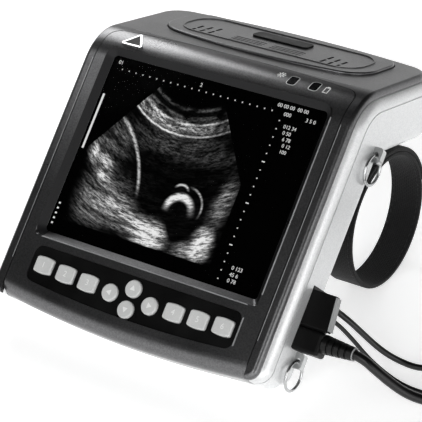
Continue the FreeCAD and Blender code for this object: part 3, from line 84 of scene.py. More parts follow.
# %% Camera
CAMERA_PLACE = (0.46471, -0.60684, 0.54336)
CAMERA_TURN = (56.1586, 5.0122, 34.3803)
LENS = 170.62
FILM_WIDTH = 36
bpy.ops.object.select_all(action="DESELECT")
bpy.ops.object.camera_add(
    location=CAMERA_PLACE, rotation=[math.radians(turn) for turn in CAMERA_TURN],
)
camera = bpy.context.object
camera.name = "photo_camera"
camera.data.lens = LENS
camera.data.sensor_width = FILM_WIDTH
bpy.context.scene.camera = camera
bpy.context.scene.view_settings.view_transform = "Standard"
print("camera at", [round(x, 3) for x in camera.location])

# %% [markdown]
# A few small helpers serve every material. One turns an sRGB hex colour into the linear numbers that
# the shader works in. One adds a node, sets its values and links its inputs in one call. A pattern's
# scale comes from the real size of its grain, so one helper turns millimetres into the scale of a
# texture. Most plastics and metals here share one make-up, so a function holds it: a tint in soft
# clouds, and a fine grain.

# %% Material helpers
TINT_CLOUD = 18


def colour(code):
    """Linear colour from an sRGB hex code."""
    linear = []
    for place in (1, 3, 5):
        level = int(code[place:place + 2], 16) / 255
        linear.append(level / 12.92 if level <= 0.04045 else ((level + 0.055) / 1.055) ** 2.4)
    return linear + [1]


def add(tree, kind, inputs=None, **settings):
    """Add a node; an input is a value, another node's output, or a node for its first output."""
    node = tree.nodes.new(kind)
    for name, value in settings.items():
        setattr(node, name, value)
    for name, value in (inputs or {}).items():
        if isinstance(value, bpy.types.Node):
            value = next(output for output in value.outputs if output.enabled)
        if isinstance(value, bpy.types.NodeSocket):
            tree.links.new(value, node.inputs[name])
        else:
            node.inputs[name].default_value = value
    return node


def finish(name):
    """An empty material: its node tree and its surface socket."""
    material = bpy.data.materials.new(name)
    material.use_nodes = True
    material.node_tree.nodes.clear()
    output = add(material.node_tree, "ShaderNodeOutputMaterial")
    return material, material.node_tree, output.inputs["Surface"]


def grain(size):
    """Texture scale for a grain of this many millimetres, on coordinates in metres."""
    return 1000 / size


def moulded(name, shades, rough, grain_size, depth, sockets=None):
    """A moulded or plated surface: cloudy tint, fine grain in its height, clouds in its gloss."""
    material, tree, surface = finish(name)
    place = add(tree, "ShaderNodeTexCoord").outputs["Object"]
    fine = add(tree, "ShaderNodeTexNoise", {
        "Vector": place, "Scale": grain(grain_size), "Detail": 4.0,
    })
    cloud = add(tree, "ShaderNodeTexNoise", {
        "Vector": place, "Scale": grain(TINT_CLOUD), "Detail": 2.0,
    })
    both = add(tree, "ShaderNodeMath", {0: fine, 1: cloud}, operation="MULTIPLY")
    share = add(tree, "ShaderNodeMapRange", {"Value": both, "From Min": 0.1, "From Max": 0.45})
    tint = add(tree, "ShaderNodeMix", {
        "Factor": share, "A": colour(shades[0]), "B": colour(shades[1]),
    }, data_type="RGBA")
    gloss = add(tree, "ShaderNodeMapRange", {
        "Value": cloud, "From Min": 0.3, "From Max": 0.7, "To Min": rough[0], "To Max": rough[1],
    })
    bump = add(tree, "ShaderNodeBump", {
        "Height": fine, "Strength": 0.5, "Distance": depth / 1000,
    })
    shader = add(tree, "ShaderNodeBsdfPrincipled", {
        "Base Color": tint, "Roughness": gloss, "Normal": bump, **(sockets or {}),
    })
    tree.links.new(shader.outputs[0], surface)
    return material


def dress(material, *names):
    """Give CAD nodes a finish."""
    for name in names:
        for place in parts[name].material_slots:
            place.material = material


METAL = {"Metallic": 1.0}
DULL = {"Specular IOR Level": 0.2}
print("material helpers ready")

# %% [markdown]
# The studio: a white floor, a cove that is brighter in front and on the right, a dark ceiling, and
# lamps. The front of the unit mirrors the ceiling, so its dark plastic stays dark, while the upright
# cheek mirrors the cove. A small lamp close on the left throws a sheen over the left half of the front
# that fades to the right, and one behind it lights the bend.

# %% Floor, surround and lamps
FLOOR_SIZE = 6
GLOW_SEEN = 0.55
GLOW_MIRRORED = 1.0
bpy.ops.mesh.primitive_plane_add(size=FLOOR_SIZE, location=(0, 0, 0))
floor = bpy.context.object
floor.name = "floor"
material, tree, surface = finish("white_floor")
shader = add(tree, "ShaderNodeBsdfPrincipled", {"Base Color": colour("#F4F4F4"), "Roughness": 0.9})
path = add(tree, "ShaderNodeLightPath")
lift = add(tree, "ShaderNodeMapRange", {
    "Value": path.outputs["Is Glossy Ray"], "To Min": GLOW_SEEN, "To Max": GLOW_MIRRORED,
})
glow = add(tree, "ShaderNodeEmission", {"Color": colour("#FFFFFF"), "Strength": lift})
seen = add(tree, "ShaderNodeMath", {
    0: path.outputs["Is Camera Ray"], 1: path.outputs["Is Glossy Ray"],
}, operation="ADD")
seen = add(tree, "ShaderNodeMath", {
    0: seen, 1: path.outputs["Is Transmission Ray"],
}, operation="ADD", use_clamp=True)
both = add(tree, "ShaderNodeAddShader", {0: shader, 1: glow})
pick = add(tree, "ShaderNodeMixShader", {0: seen, 1: shader, 2: both})
tree.links.new(pick.outputs[0], surface)
floor.data.materials.append(material)

world = bpy.data.worlds.new("surround")
bpy.context.scene.world = world
world.use_nodes = True
tree = world.node_tree
tree.nodes.clear()
output = add(tree, "ShaderNodeOutputWorld")
sky = add(tree, "ShaderNodeTexCoord").outputs["Generated"]
way = add(tree, "ShaderNodeSeparateXYZ", {"Vector": sky})
fade = add(tree, "ShaderNodeMapRange", {
    "Value": way.outputs["Z"], "From Min": 0.12, "From Max": 0.5, "To Min": 1.0, "To Max": 0.03,
}, interpolation_type="SMOOTHSTEP")
bright_side = add(tree, "ShaderNodeMapRange", {
    "Value": way.outputs["X"], "From Min": -0.4, "From Max": 0.5, "To Min": 0.5, "To Max": 1.2,
}, interpolation_type="SMOOTHSTEP")
bright_front = add(tree, "ShaderNodeMapRange", {
    "Value": way.outputs["Y"], "From Min": -0.85, "From Max": -0.45, "To Min": 2.6, "To Max": 1.0,
}, interpolation_type="SMOOTHSTEP")
level = add(tree, "ShaderNodeMath", {0: fade, 1: bright_side}, operation="MULTIPLY")
level = add(tree, "ShaderNodeMath", {0: level, 1: bright_front}, operation="MULTIPLY")
room = add(tree, "ShaderNodeBackground", {"Color": colour("#FFFFFF"), "Strength": level})
tree.links.new(room.outputs[0], output.inputs["Surface"])

# each lamp: place and size in metres, power in watts
LAMPS = {
    "left_lamp": ((-0.27, -0.12, 0.37), 0.1, 0.09),
    "bend_lamp": ((-0.36, 0.29, 0.37), 0.22, 1.0),
    "right_lamp": ((0.95, -0.45, 0.3), 0.7, 3.8),
    "front_lamp": ((0.1, -1.2, 0.9), 0.8, 7.0),
}
LAMP_AIM = Vector((0, 0, 0.06))
for name, (place, size, power) in LAMPS.items():
    aim = (LAMP_AIM - Vector(place)).to_track_quat("-Z", "Y").to_euler()
    bpy.ops.object.light_add(type="AREA", location=place, rotation=aim)
    lamp = bpy.context.object
    lamp.name = name
    lamp.data.size = size
    lamp.data.energy = power
print("lamps:", ", ".join(LAMPS))

# %% [markdown]
# The leads are soft, so each is one smooth curve on the points of its route: straight out of its plug,
# down under its own weight, and along the table. What the picture does not show is wound into a neat
# coil beside the unit. A curve of order three runs inside its points, so the coil's points lie a little
# outside the turns.

# %% Routes of the leads
TURN_POINTS = 16
SWELL = 1 / math.cos(math.pi / TURN_POINTS)


def coil(centre, entry, sense, inner, pitch, turns, turns_out, low, rise):
    """Points of loops that spiral in, climb in a half turn and spiral out on top, in millimetres."""
    places = []
    steps = round((turns + 0.5 + turns_out) * TURN_POINTS)
    for step in range(steps + 1):
        turned = step / TURN_POINTS
        climb = min(max((turned - turns) * 2, 0), 1)
        radius = inner + pitch * (max(turns - turned, 0) + max(turned - turns - 0.5, 0))
        angle = math.radians(entry) + sense * 2 * math.pi * turned
        height = low + rise * climb * climb * (3 - 2 * climb)
        places.append((
            centre[0] + math.cos(angle) * radius * SWELL,
            centre[1] + math.sin(angle) * radius * SWELL,
            height,
        ))
    return places


PROBE_COIL = coil(
    (187.6, 0.8), entry=-90, sense=1, inner=16, pitch=5.7, turns=4, turns_out=3.75, low=3.4, rise=4.9,
)
PROBE_ROUTE = [
    (102, -50.75, 22.52), (107.2, -51.1, 21.8), (111.6, -50.8, 18.4), (118.5, -49.4, 12.5),
    (125, -47.5, 7.7), (132, -44.5, 4.6), (141.5, -39.8, 3.45), (148.2, -38, 3.4), (160, -38, 3.4),
    (172, -38, 3.4), (181, -38.4, 3.4), *PROBE_COIL[1:-1], (225, 1.4, 8.3), (225, 5.2, 8.3),
]
POWER_COIL = coil(
    (151.4, 67.3), entry=180, sense=-1, inner=9, pitch=4.1, turns=4, turns_out=3.75, low=2.6, rise=3.3,
)
POWER_ROUTE = [
    (84, -39.19, 33.6), (84.6, -36, 29.6), (90.3, -34.7, 25), (94.9, -32.6, 19), (99.6, -30.6, 13),
    (104.9, -29.3, 8.8), (109.3, -26.9, 5.2), (114.5, -25.4, 3.2), (119.1, -23.9, 2.6),
    (124.6, -20.2, 2.5), (127.8, -14.2, 2.4), (128.9, -6.2, 2.4), (128.4, 3, 2.4), (127, 12.5, 2.4),
    (125.6, 22.5, 2.4), (125.4, 33, 2.4), (126, 44, 2.5), (126, 54.5, 2.6), (125.8, 63, 2.6),
    *POWER_COIL[1:-1], (151.4, 91.7, 5.9), (154.2, 91.7, 5.9),
]
THIN_ROUTE = [
    (84.6, -42.77, 30.41), (84.9, -39.6, 26.8), (87.6, -37.8, 23), (90.2, -36.5, 19),
    (92.9, -35.1, 14.5), (95.3, -33.9, 10.2), (98.6, -33.2, 6.2), (104.8, -33.9, 3), (114, -36, 1.4),
    (122.5, -37, 1.2), (131.5, -36.2, 1.2), (141, -34.9, 2.4), (147.9, -34.3, 3.4), (154.6, -34.3, 3.4),
]
print("route points:", len(PROBE_ROUTE), len(POWER_ROUTE), len(THIN_ROUTE))

# %% [markdown]
# The jacket of a lead is soft PVC, extruded: black, half dull, with a long soft highlight. Very fine
# mottling breaks the highlight up, as it does on a jacket that has seen use.

# %% Leads
jacket = moulded("soft_pvc_jacket", ("#050505", "#0D0D0D"), (0.26, 0.42), 0.9, 0.02,
                 {"Specular IOR Level": 0.35})
LEAD_STEPS = 6
LEAD_ROUNDS = 4


def lead(name, route, thick):
    """A lead of this thickness in millimetres along its route."""
    line = bpy.data.curves.new(name, "CURVE")
    line.dimensions = "3D"
    line.resolution_u = LEAD_STEPS
    line.bevel_depth = thick / 2000
    line.bevel_resolution = LEAD_ROUNDS
    line.use_fill_caps = True
    spline = line.splines.new("NURBS")
    spline.points.add(len(route) - 1)
    for point, place in zip(spline.points, route):
        point.co = [size / 1000 for size in place] + [1]
    spline.order_u = 3
    spline.use_endpoint_u = True
    line.materials.append(jacket)
    made = bpy.data.objects.new(name, line)
    bpy.context.scene.collection.objects.link(made)
    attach(made, "unit")
    return made


probe_line = lead("probe_lead_line", PROBE_ROUTE, 4.4)
power_line = lead("power_lead_line", POWER_ROUTE, 2.8)
thin_line = lead("thin_lead_line", THIN_ROUTE, 2.0)
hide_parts("probe_lead", "probe_coil")
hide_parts("power_lead", "power_coil")
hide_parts("thin_lead")
print("leads made")

# %% [markdown]
# The housing is moulded ABS under lacquer with a fine metal flake, in two colours. The front plate, the
# shell behind it and the vent panel are graphite. Its flake gives a grey that is alive: bright where a
# lamp is mirrored, nearly black where none is. The cheeks and the back cover are silver, rubbed satin.
# It is lighter and has a broader highlight, so each round of the cheek shows a wide soft band of light.
# A flake is too fine for this picture, so it is drawn about half a millimetre wide.


# %% Graphite and silver lacquer
def lacquer(name, shades, grains, rough, peel, sockets):
    """Flake lacquer: a grey for each flake, clouds in the gloss, a slight orange peel in the height."""
    material, tree, surface = finish(name)
    place = add(tree, "ShaderNodeTexCoord").outputs["Object"]
    flake = add(tree, "ShaderNodeTexVoronoi", {"Vector": place, "Scale": grain(grains[0])})
    cloud = add(tree, "ShaderNodeTexNoise", {
        "Vector": place, "Scale": grain(grains[1]), "Detail": 3.0,
    })
    ripple = add(tree, "ShaderNodeTexNoise", {
        "Vector": place, "Scale": grain(grains[2]), "Detail": 2.0,
    })
    flecks = add(tree, "ShaderNodeSeparateColor", {"Color": flake.outputs["Color"]})
    tint = add(tree, "ShaderNodeMix", {
        "Factor": flecks.outputs["Red"], "A": colour(shades[0]), "B": colour(shades[1]),
    }, data_type="RGBA")
    gloss = add(tree, "ShaderNodeMapRange", {
        "Value": cloud, "From Min": 0.3, "From Max": 0.7, "To Min": rough[0], "To Max": rough[1],
    })
    bump = add(tree, "ShaderNodeBump", {"Height": ripple, "Strength": peel, "Distance": 0.0001})
    shader = add(tree, "ShaderNodeBsdfPrincipled", {
        "Base Color": tint, "Roughness": gloss, "Normal": bump, **sockets,
    })
    tree.links.new(shader.outputs[0], surface)
    return material


# dark metallic grey under a thin clear coat
graphite = lacquer(
    "graphite_flake_lacquer_on_abs", ("#565657", "#666667"), (0.5, 25, 1.6), (0.27, 0.33), 0.12,
    {"Metallic": 0.95, "Coat Weight": 0.05, "Coat Roughness": 0.2},
)
dress(graphite, "front_plate", "outer_shell", "vent_panel")
# pale satin silver
silver = lacquer(
    "satin_silver_lacquer_on_abs", ("#CFD0D1", "#DEDFDF"), (0.45, 30, 1.4), (0.36, 0.44), 0.1,
    {"Metallic": 0.55},
)
dress(silver, "mid_frame", "back_cover")
print("graphite on three nodes, silver on two")

# %% [markdown]
# The keypad is a black polyester film with a hard coat, half glossy, and the keys are pale grey ABS
# caps, spark-eroded so that they look like fine eggshell. The two light guides and the bare badge frame
# sit on the bend above the screen.

# %% Keypad, keys and small plastic pieces
# deep black with a soft shine
film = moulded("hard_coated_black_polyester_film", ("#060606", "#0C0C0C"), (0.26, 0.36), 0.6, 0.01, DULL)
dress(film, "keypad_overlay")
# pale grey eggshell
keycap = moulded("spark_eroded_pale_grey_abs", ("#C0C1C0", "#CFD0CF"), (0.4, 0.52), 0.5, 0.03)
KEYS = [name for name in parts if name.startswith("key_")]
dress(keycap, *KEYS)
# nearly black and glossy while its light is off
smoked = moulded("smoked_acrylic_light_guide", ("#08090A", "#101113"), (0.08, 0.14), 1.2, 0.01)
dress(smoked, "led_lens_power", "led_lens_charge")
# soft silver with a grainy shine
cast = moulded("zinc_cast_badge_satin_plated", ("#B2B3B4", "#C4C5C5"), (0.22, 0.34), 0.4, 0.02, METAL)
dress(cast, "badge_blank")
print("keys:", len(KEYS))

# %% [markdown]
# Plugs and the bare name plate are black ABS with a fine moulded grain. The wide plug has a strip of
# pale grey ABS on its end. The strain relief, the sleeve and the power plug are soft black PVC, the ties
# are nylon, and the probe has a smooth pale grey grip.

# %% Plugs, ties and probe
# matt black that shows its shape only at the edges
black_abs = moulded("fine_grain_black_abs", ("#030303", "#070707"), (0.36, 0.48), 0.5, 0.04,
                    {"Specular IOR Level": 0.12})
dress(black_abs, "connector_bay", "upper_plug", "probe_plug", "strap_clamp_left", "strap_clamp_right",
      "name_plate")
# flat mid grey
pale_abs = moulded("fine_grain_pale_grey_abs", ("#8E8F90", "#A3A4A4"), (0.38, 0.5), 0.5, 0.03)
dress(pale_abs, "plug_end_plate")
# black with a blurred highlight
soft_pvc = moulded("soft_black_pvc_moulding", ("#040404", "#090909"), (0.34, 0.46), 0.8, 0.03, DULL)
dress(soft_pvc, "strain_relief", "lead_sleeve", "power_tip")
# charcoal, slightly fibrous
nylon = moulded("black_nylon_band", ("#111112", "#1D1D1E"), (0.4, 0.55), 0.4, 0.03)
dress(nylon, "probe_tie", "power_tie")
# even pale grey, half glossy
grip = moulded("smooth_grey_abs_grip", ("#A6A8AA", "#B5B7B8"), (0.3, 0.4), 0.6, 0.02)
dress(grip, "probe_body")
print("plugs and probe dressed")

# %% [markdown]
# Metal pieces: chrome-plated ring wire mirrors the white room, the cast lugs are satin nickel, the
# screws are zinc-plated steel with a fine grain, and the sheets inside are pressed steel.

# %% Metal
# a clear mirror
chrome = moulded("chrome_plated_steel_wire", ("#9C9D9E", "#B0B1B1"), (0.06, 0.14), 2.0, 0.01, METAL)
dress(chrome, *[name for name in parts if name.startswith("ring_")])
# a warm, blurred mirror
nickel = moulded("satin_nickel_plated_casting", ("#A5A6A6", "#BBBCBC"), (0.24, 0.36), 0.5, 0.03, METAL)
dress(nickel, *[name for name in parts if name.startswith("lug_")])
# a greyer shine with visible grain
zinc = moulded("zinc_plated_steel_screw", ("#8C8D8E", "#A9AAAB"), (0.25, 0.4), 0.3, 0.02, METAL)
dress(zinc, *[name for name in parts if "_screw_" in name])
# a plain rolled grey
sheet_steel = moulded("pressed_steel_sheet", ("#8F9192", "#A4A6A7"), (0.28, 0.42), 3.0, 0.02, METAL)
dress(sheet_steel, "display_carrier", "dome_sheet")
print("metal dressed")

# %% [markdown]
# Inside, the boards are glass-filled epoxy under green mask. Copper tracks show through as a lighter
# green in a grid of lanes. The cells are wrapped in blue shrink film with a soft shine.

# %% Boards and cells
mask, tree, surface = finish("green_masked_epoxy_board")
place = add(tree, "ShaderNodeTexCoord").outputs["Object"]
lanes = add(tree, "ShaderNodeTexBrick", {
    "Vector": place, "Color1": colour("#0D4A2A"), "Color2": colour("#0F5530"),
    "Mortar": colour("#2F8A57"), "Scale": grain(1), "Mortar Size": 0.08, "Mortar Smooth": 0.2,
    "Brick Width": 6.0, "Row Height": 1.27,
})
height = add(tree, "ShaderNodeBump", {
    "Height": lanes.outputs["Fac"], "Strength": 0.4, "Distance": 0.00004,
})
shader = add(tree, "ShaderNodeBsdfPrincipled", {"Base Color": lanes, "Roughness": 0.32, "Normal": height})
tree.links.new(shader.outputs[0], surface)
dress(mask, "keypad_board", "main_board")
# dark blue with a soft shine
wrap = moulded("blue_pvc_shrink_film", ("#1B2440", "#26325A"), (0.22, 0.36), 4.0, 0.06)
dress(wrap, "battery_pack")
print("boards and cells dressed")

# %% [markdown]
# The screen shows a scan: a fan of grey speckle on black, as any such unit draws it. It glows, so it is
# an emission in the display's own material. The fan is a slice of rings round a point above the screen,
# so the speckle is a noise on distance and angle from there. Soft ellipses set where tissue is bright
# and where fluid is dark. The helpers add to the node tree that is being built.

# %% Scan picture
FAN_TOP = (-11.4, 60.6)
FAN_NEAR = 30.6
FAN_SPREAD = 34.5
FACE_DEPTH = 4.5
SHORT_GRAIN = (1.15, 19, 1)
LONG_GRAIN = (0.3, 4.5, 1)
NEAR_BAND = (41.0, 5.5, 0.55)
TISSUE_LOW = 0.02
# each patch: place across and up, half width, half height, turn in degrees, strength
PATCHES = [
    (-50, -1, 4.5, 8, 35, 1.1),
    (-41, -8, 5, 10, 30, 0.75),
    (-43, 4, 15, 16, -30, 0.2),
    (-36, -22, 18, 16, -20, 0.45),
    (-20, -27, 16, 8, -22, 0.65),
    (-6, -31, 11, 8, -10, 1.35),
    (21, -28, 6.5, 9, 0, 1.5),
    (24, -8, 6, 15, -8, 0.4),
    (8, -33, 16, 7, 0, 0.45),
    (-8, 12, 36, 9, 0, 0.16),
    (6, -30, 6.5, 12, -8, -0.35),
]
display, tree, surface = finish("glowing_display_behind_glass")
place = add(tree, "ShaderNodeTexCoord").outputs["Object"]
flat = add(tree, "ShaderNodeMapping", {
    "Vector": place, "Location": STAND / 1000, "Rotation": (-LEAN, 0, 0), "Scale": (0.001, 0.001, 0.001),
}, vector_type="TEXTURE")
split = add(tree, "ShaderNodeSeparateXYZ", {"Vector": flat})
across, up = split.outputs["X"], split.outputs["Z"]
top = (FAN_TOP[0], FACE_DEPTH, FAN_TOP[1])
reach = add(tree, "ShaderNodeVectorMath", {0: flat, 1: top}, operation="DISTANCE").outputs["Value"]
aside = add(tree, "ShaderNodeMath", {0: across, 1: FAN_TOP[0]}, operation="SUBTRACT")
below = add(tree, "ShaderNodeMath", {0: FAN_TOP[1], 1: up}, operation="SUBTRACT")
angle = add(tree, "ShaderNodeMath", {0: aside, 1: below}, operation="ARCTAN2")


def line_at(value, middle, half, strength):
    """A soft line where a value is near its middle."""
    off = add(tree, "ShaderNodeMath", {0: value, 1: middle}, operation="SUBTRACT")
    apart = add(tree, "ShaderNodeMath", {0: off}, operation="ABSOLUTE")
    return add(tree, "ShaderNodeMapRange", {
        "Value": apart, "From Max": half, "To Min": strength, "To Max": 0.0,
    }, interpolation_type="SMOOTHSTEP")


def faded(light, value, start, end, dark=0.0, full=1.0):
    """A light that grows as a value goes from start to end."""
    share = add(tree, "ShaderNodeMapRange", {
        "Value": value, "From Min": start, "From Max": end, "To Min": dark, "To Max": full,
    }, interpolation_type="SMOOTHSTEP")
    return add(tree, "ShaderNodeMath", {0: light, 1: share}, operation="MULTIPLY")


def laid_over(lights):
    """Lights that fall on one another."""
    whole = lights[0]
    for light in lights[1:]:
        whole = add(tree, "ShaderNodeMath", {0: whole, 1: light}, operation="ADD")
    return whole


def patch(u, v, wide, tall, turn, strength):
    """A soft ellipse, bright inside or dark where its strength is negative."""
    local = add(tree, "ShaderNodeMapping", {
        "Vector": flat, "Location": (u, 0, v), "Rotation": (0, math.radians(-turn), 0),
        "Scale": (wide, 1000, tall),
    }, vector_type="TEXTURE")
    far = add(tree, "ShaderNodeVectorMath", {0: local}, operation="LENGTH")
    return faded(strength, far.outputs["Value"], 1.2, 0.1)


beam = add(tree, "ShaderNodeCombineXYZ", {"X": reach, "Y": angle})
short_grain = add(tree, "ShaderNodeMapping", {"Vector": beam, "Scale": SHORT_GRAIN})
long_grain = add(tree, "ShaderNodeMapping", {"Vector": beam, "Scale": LONG_GRAIN})
speckle = add(tree, "ShaderNodeTexNoise", {
    "Vector": short_grain, "Scale": 1.0, "Detail": 5.0, "Roughness": 0.75,
})
clumps = add(tree, "ShaderNodeTexNoise", {
    "Vector": long_grain, "Scale": 1.0, "Detail": 3.0, "Roughness": 0.6,
})
near_band = faded(line_at(reach, *NEAR_BAND), across, 12.0, -20.0, 0.45, 1.0)
tissue = laid_over([near_band, TISSUE_LOW] + [patch(*values) for values in PATCHES])
tissue = add(tree, "ShaderNodeMath", {0: tissue, 1: TISSUE_LOW}, operation="MAXIMUM")
tissue = faded(tissue, speckle, 0.34, 0.7, 0.12, 1.5)
tissue = faded(tissue, clumps, 0.34, 0.62, 0.35, 1.35)
print("patches:", len(PATCHES))

# %% [markdown]
# Thin bright echoes lie over the speckle: arcs near the probe, the wall of a dark pocket, and a small
# arch with a dark shadow under it. The speckle breaks them up too. At the end the light is cut to the
# fan's edges.

# %% Echo lines and glow
FAN_LOW = (-36.4, -36.0)
FAN_RIGHT = (29.2, 28.8)
FAN_LEFT = (-55.0, -47.0)
WAVE_STEP = 1.9
CONTRAST = 1.5


def ring_at(centre, radius, half, strength):
    """A soft ring round a place on the screen."""
    middle = (centre[0], FACE_DEPTH, centre[1])
    apart = add(tree, "ShaderNodeVectorMath", {0: flat, 1: middle}, operation="DISTANCE")
    return line_at(apart.outputs["Value"], radius, half, strength)


waves = add(tree, "ShaderNodeMath", {0: reach, 1: WAVE_STEP}, operation="PINGPONG")
echoes = laid_over([
    # fine arcs at the near edge
    faded(faded(faded(0.2, waves, 0.6, WAVE_STEP), clumps, 0.35, 0.6), reach, 38.0, 36.0),
    # two layers below them
    faded(line_at(reach, 39.0, 0.9, 0.5), clumps, 0.3, 0.6, 0.4, 1.2),
    faded(line_at(reach, 44.6, 0.8, 0.95), across, 14.0, -26.0, 0.35, 1.0),
    # wall of the dark pocket
    faded(faded(ring_at((-70.0, -26.0), 51.5, 1.3, 0.7), up, -18.0, -8.0), up, 19.0, 14.0),
    # arch, the line outside it and the cap above it
    faded(faded(ring_at((3.6, -17.0), 6.6, 2.6, 1.5), up, -19.5, -12.0), across, 12.0, 4.0, 0.35, 1.0),
    faded(faded(ring_at((5.6, -14.4), 9.2, 0.9, 0.6), up, -19.0, -12.0), across, 4.0, 11.0),
    faded(ring_at((1.6, -8.8), 3.8, 1.0, 0.8), up, -7.6, -5.6),
])
echoes = faded(echoes, speckle, 0.3, 0.62, 0.3, 1.2)
light = laid_over([tissue, echoes])
spread = add(tree, "ShaderNodeMath", {0: angle}, operation="ABSOLUTE")
light = faded(light, reach, FAN_NEAR - 0.2, FAN_NEAR + 0.3)
light = faded(light, spread, math.radians(FAN_SPREAD + 0.3), math.radians(FAN_SPREAD))
light = faded(light, up, *FAN_LOW)
light = faded(light, across, *FAN_RIGHT)
light = faded(light, across, *FAN_LEFT)
light = add(tree, "ShaderNodeMath", {0: light, 1: CONTRAST}, operation="POWER", use_clamp=True)
shader = add(tree, "ShaderNodeBsdfPrincipled", {
    "Base Color": colour("#020202"), "Roughness": 0.5, "Specular IOR Level": 0.0,
    "Emission Color": colour("#FFFFFF"), "Emission Strength": light,
})
tree.links.new(shader.outputs[0], surface)
dress(display, "display_panel")
print("scan drawn with", len(tree.nodes), "nodes")

# %% [markdown]
# A flat sign, a digit or a pointer is drawn at the origin in millimetres, made a mesh, and then laid
# where it belongs. Each rides with the body that carries it, so a key takes its mark along when it is
# pressed. Most start as a rectangle with rounded corners or as a ring, and end as a thin solid, so a
# few helpers do that.

# %% Laying signs
MARK_THICK = 0.04


def card(wide, tall, corner=0, rounds=1):
    """Start a flat rectangle, its corners rounded if asked for, in edit mode."""
    bpy.ops.mesh.primitive_plane_add(size=1)
    made = bpy.context.object
    bpy.ops.object.mode_set(mode="EDIT")
    bpy.ops.transform.resize(value=(wide, tall, 1))
    if corner:
        bpy.ops.mesh.bevel(offset=corner, segments=rounds, affect="VERTICES")
    return made


def ring_card(radius, sides, rim):
    """Start a flat ring with a rim of this width, in edit mode."""
    bpy.ops.mesh.primitive_circle_add(vertices=sides, radius=radius, fill_type="NGON")
    made = bpy.context.object
    bpy.ops.object.mode_set(mode="EDIT")
    bpy.ops.mesh.inset(thickness=rim)
    bpy.ops.mesh.delete(type="FACE")
    return made


def block(size, edge):
    """Make a block with its edges taken off."""
    bpy.ops.mesh.primitive_cube_add(size=1)
    bpy.ops.object.mode_set(mode="EDIT")
    bpy.ops.transform.resize(value=size)
    bpy.ops.mesh.bevel(offset=edge, segments=2)
    bpy.ops.object.mode_set(mode="OBJECT")


def close_up():
    """Turn all faces outwards and leave edit mode."""
    bpy.ops.mesh.select_all(action="SELECT")
    bpy.ops.mesh.normals_make_consistent(inside=False)
    bpy.ops.object.mode_set(mode="OBJECT")


def thicken(depth):
    """Pull a flat drawing up into a thin solid and leave edit mode."""
    bpy.ops.mesh.select_all(action="SELECT")
    bpy.ops.mesh.extrude_region_move(TRANSFORM_OT_translate={"value": (0, 0, depth)})
    close_up()


def enter(made, name, material, body):
    """Name a piece, give it its finish and let it ride on its body."""
    made.name = name
    made.data.materials.clear()
    made.data.materials.append(material)
    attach(made, body)


def settle(name, place, material, body):
    """Lay the piece just made at its place, with the place in its mesh."""
    made = bpy.context.object
    made.matrix_world = place @ Matrix.Scale(0.001, 4)
    bpy.ops.object.transform_apply(location=True, rotation=True, scale=True)
    enter(made, name, material, body)
    return made


def digits(name, text, size, place, material, body):
    """Plain numbers of this height in millimetres."""
    bpy.ops.object.text_add()
    words = bpy.context.object.data
    words.body = text
    words.size = size
    words.align_x = "CENTER"
    words.align_y = "CENTER"
    words.extrude = MARK_THICK / 2
    words.resolution_u = 3
    bpy.ops.object.convert(target="MESH")
    settle(name, place, material, body)


print("sign helpers ready")

# %% [markdown]
# Screen marks glow like the picture: rows of ticks along the top and down the right, a grey scale on
# the left, and plain numbers where a unit writes its settings.

# %% Screen marks
GLASS_BACK = 4.42
# white light from a thin dark film
glowing = moulded("glowing_screen_mark", ("#101010", "#181818"), (0.3, 0.4), 1.0, 0.01,
                  {"Emission Color": colour("#FFFFFF"), "Emission Strength": 0.8})


def tick_row(name, start, step, count, size):
    """A row of ticks, one step apart."""
    made = card(*size)
    thicken(MARK_THICK)
    row = made.modifiers.new("row", "ARRAY")
    row.count = count
    row.use_relative_offset = False
    row.use_constant_offset = True
    row.constant_offset_displace = (*step, 0)
    bpy.ops.object.modifier_apply(modifier="row")
    settle(name, on_front(start[0], GLASS_BACK, start[1]), glowing, "unit")


# each row: start across and up, step, count, size of a tick
TICK_ROWS = {
    "screen_ticks_top": ((-52.0, 38.0), (3.9, 0), 22, (0.5, 0.6)),
    "screen_ticks_right": ((35.2, 34.5), (0, -3.9), 20, (0.6, 0.5)),
    "screen_ticks_tens": ((35.2, 15.0), (0, -19.5), 3, (1.6, 0.5)),
    "screen_grey_scale": ((-56.4, 11.4), (0, 0), 1, (1.1, 27.0)),
    "screen_level_marks": ((-56.6, -29.4), (0, -2.4), 5, (1.0, 0.8)),
}
for name, row in TICK_ROWS.items():
    tick_row(name, *row)
# each number: its digits, their height, place across and up
NUMBERS = [
    ("01", 2.6, -54.0, 41.0), ("2", 2.6, -9.0, 40.6), ("00 00 00  00 00", 2.5, 39.5, 41.2),
    ("000", 2.5, 38.0, 37.8), ("3 5 0", 2.5, 50.0, 37.6), ("012 34", 2.4, 41.5, 32.4),
    ("0 50", 2.4, 41.0, 29.6), ("6 78", 2.4, 42.0, 26.8), ("0 12", 2.4, 43.0, 24.0),
    ("100", 2.4, 42.5, 21.2), ("0 123", 2.5, 42.5, -33.4), ("45 6", 2.5, 42.0, -36.4),
    ("0 78", 2.5, 42.0, -39.2),
]
for order, (text, size, across_mm, up_mm) in enumerate(NUMBERS):
    digits("screen_number_%d" % order, text, size, on_front(across_mm, GLASS_BACK, up_mm), glowing,
           "unit")
print("tick rows:", len(TICK_ROWS), "screen numbers:", len(NUMBERS))

# %% [markdown]
# The window is a cut pane of clear acrylic with a low-reflection coat, so the black of the screen stays
# deep: only a faint share of the pane shows, and the rest lets the light straight through. It is
# modelled a little thinner than its seat, which leaves a thin air gap over the display.

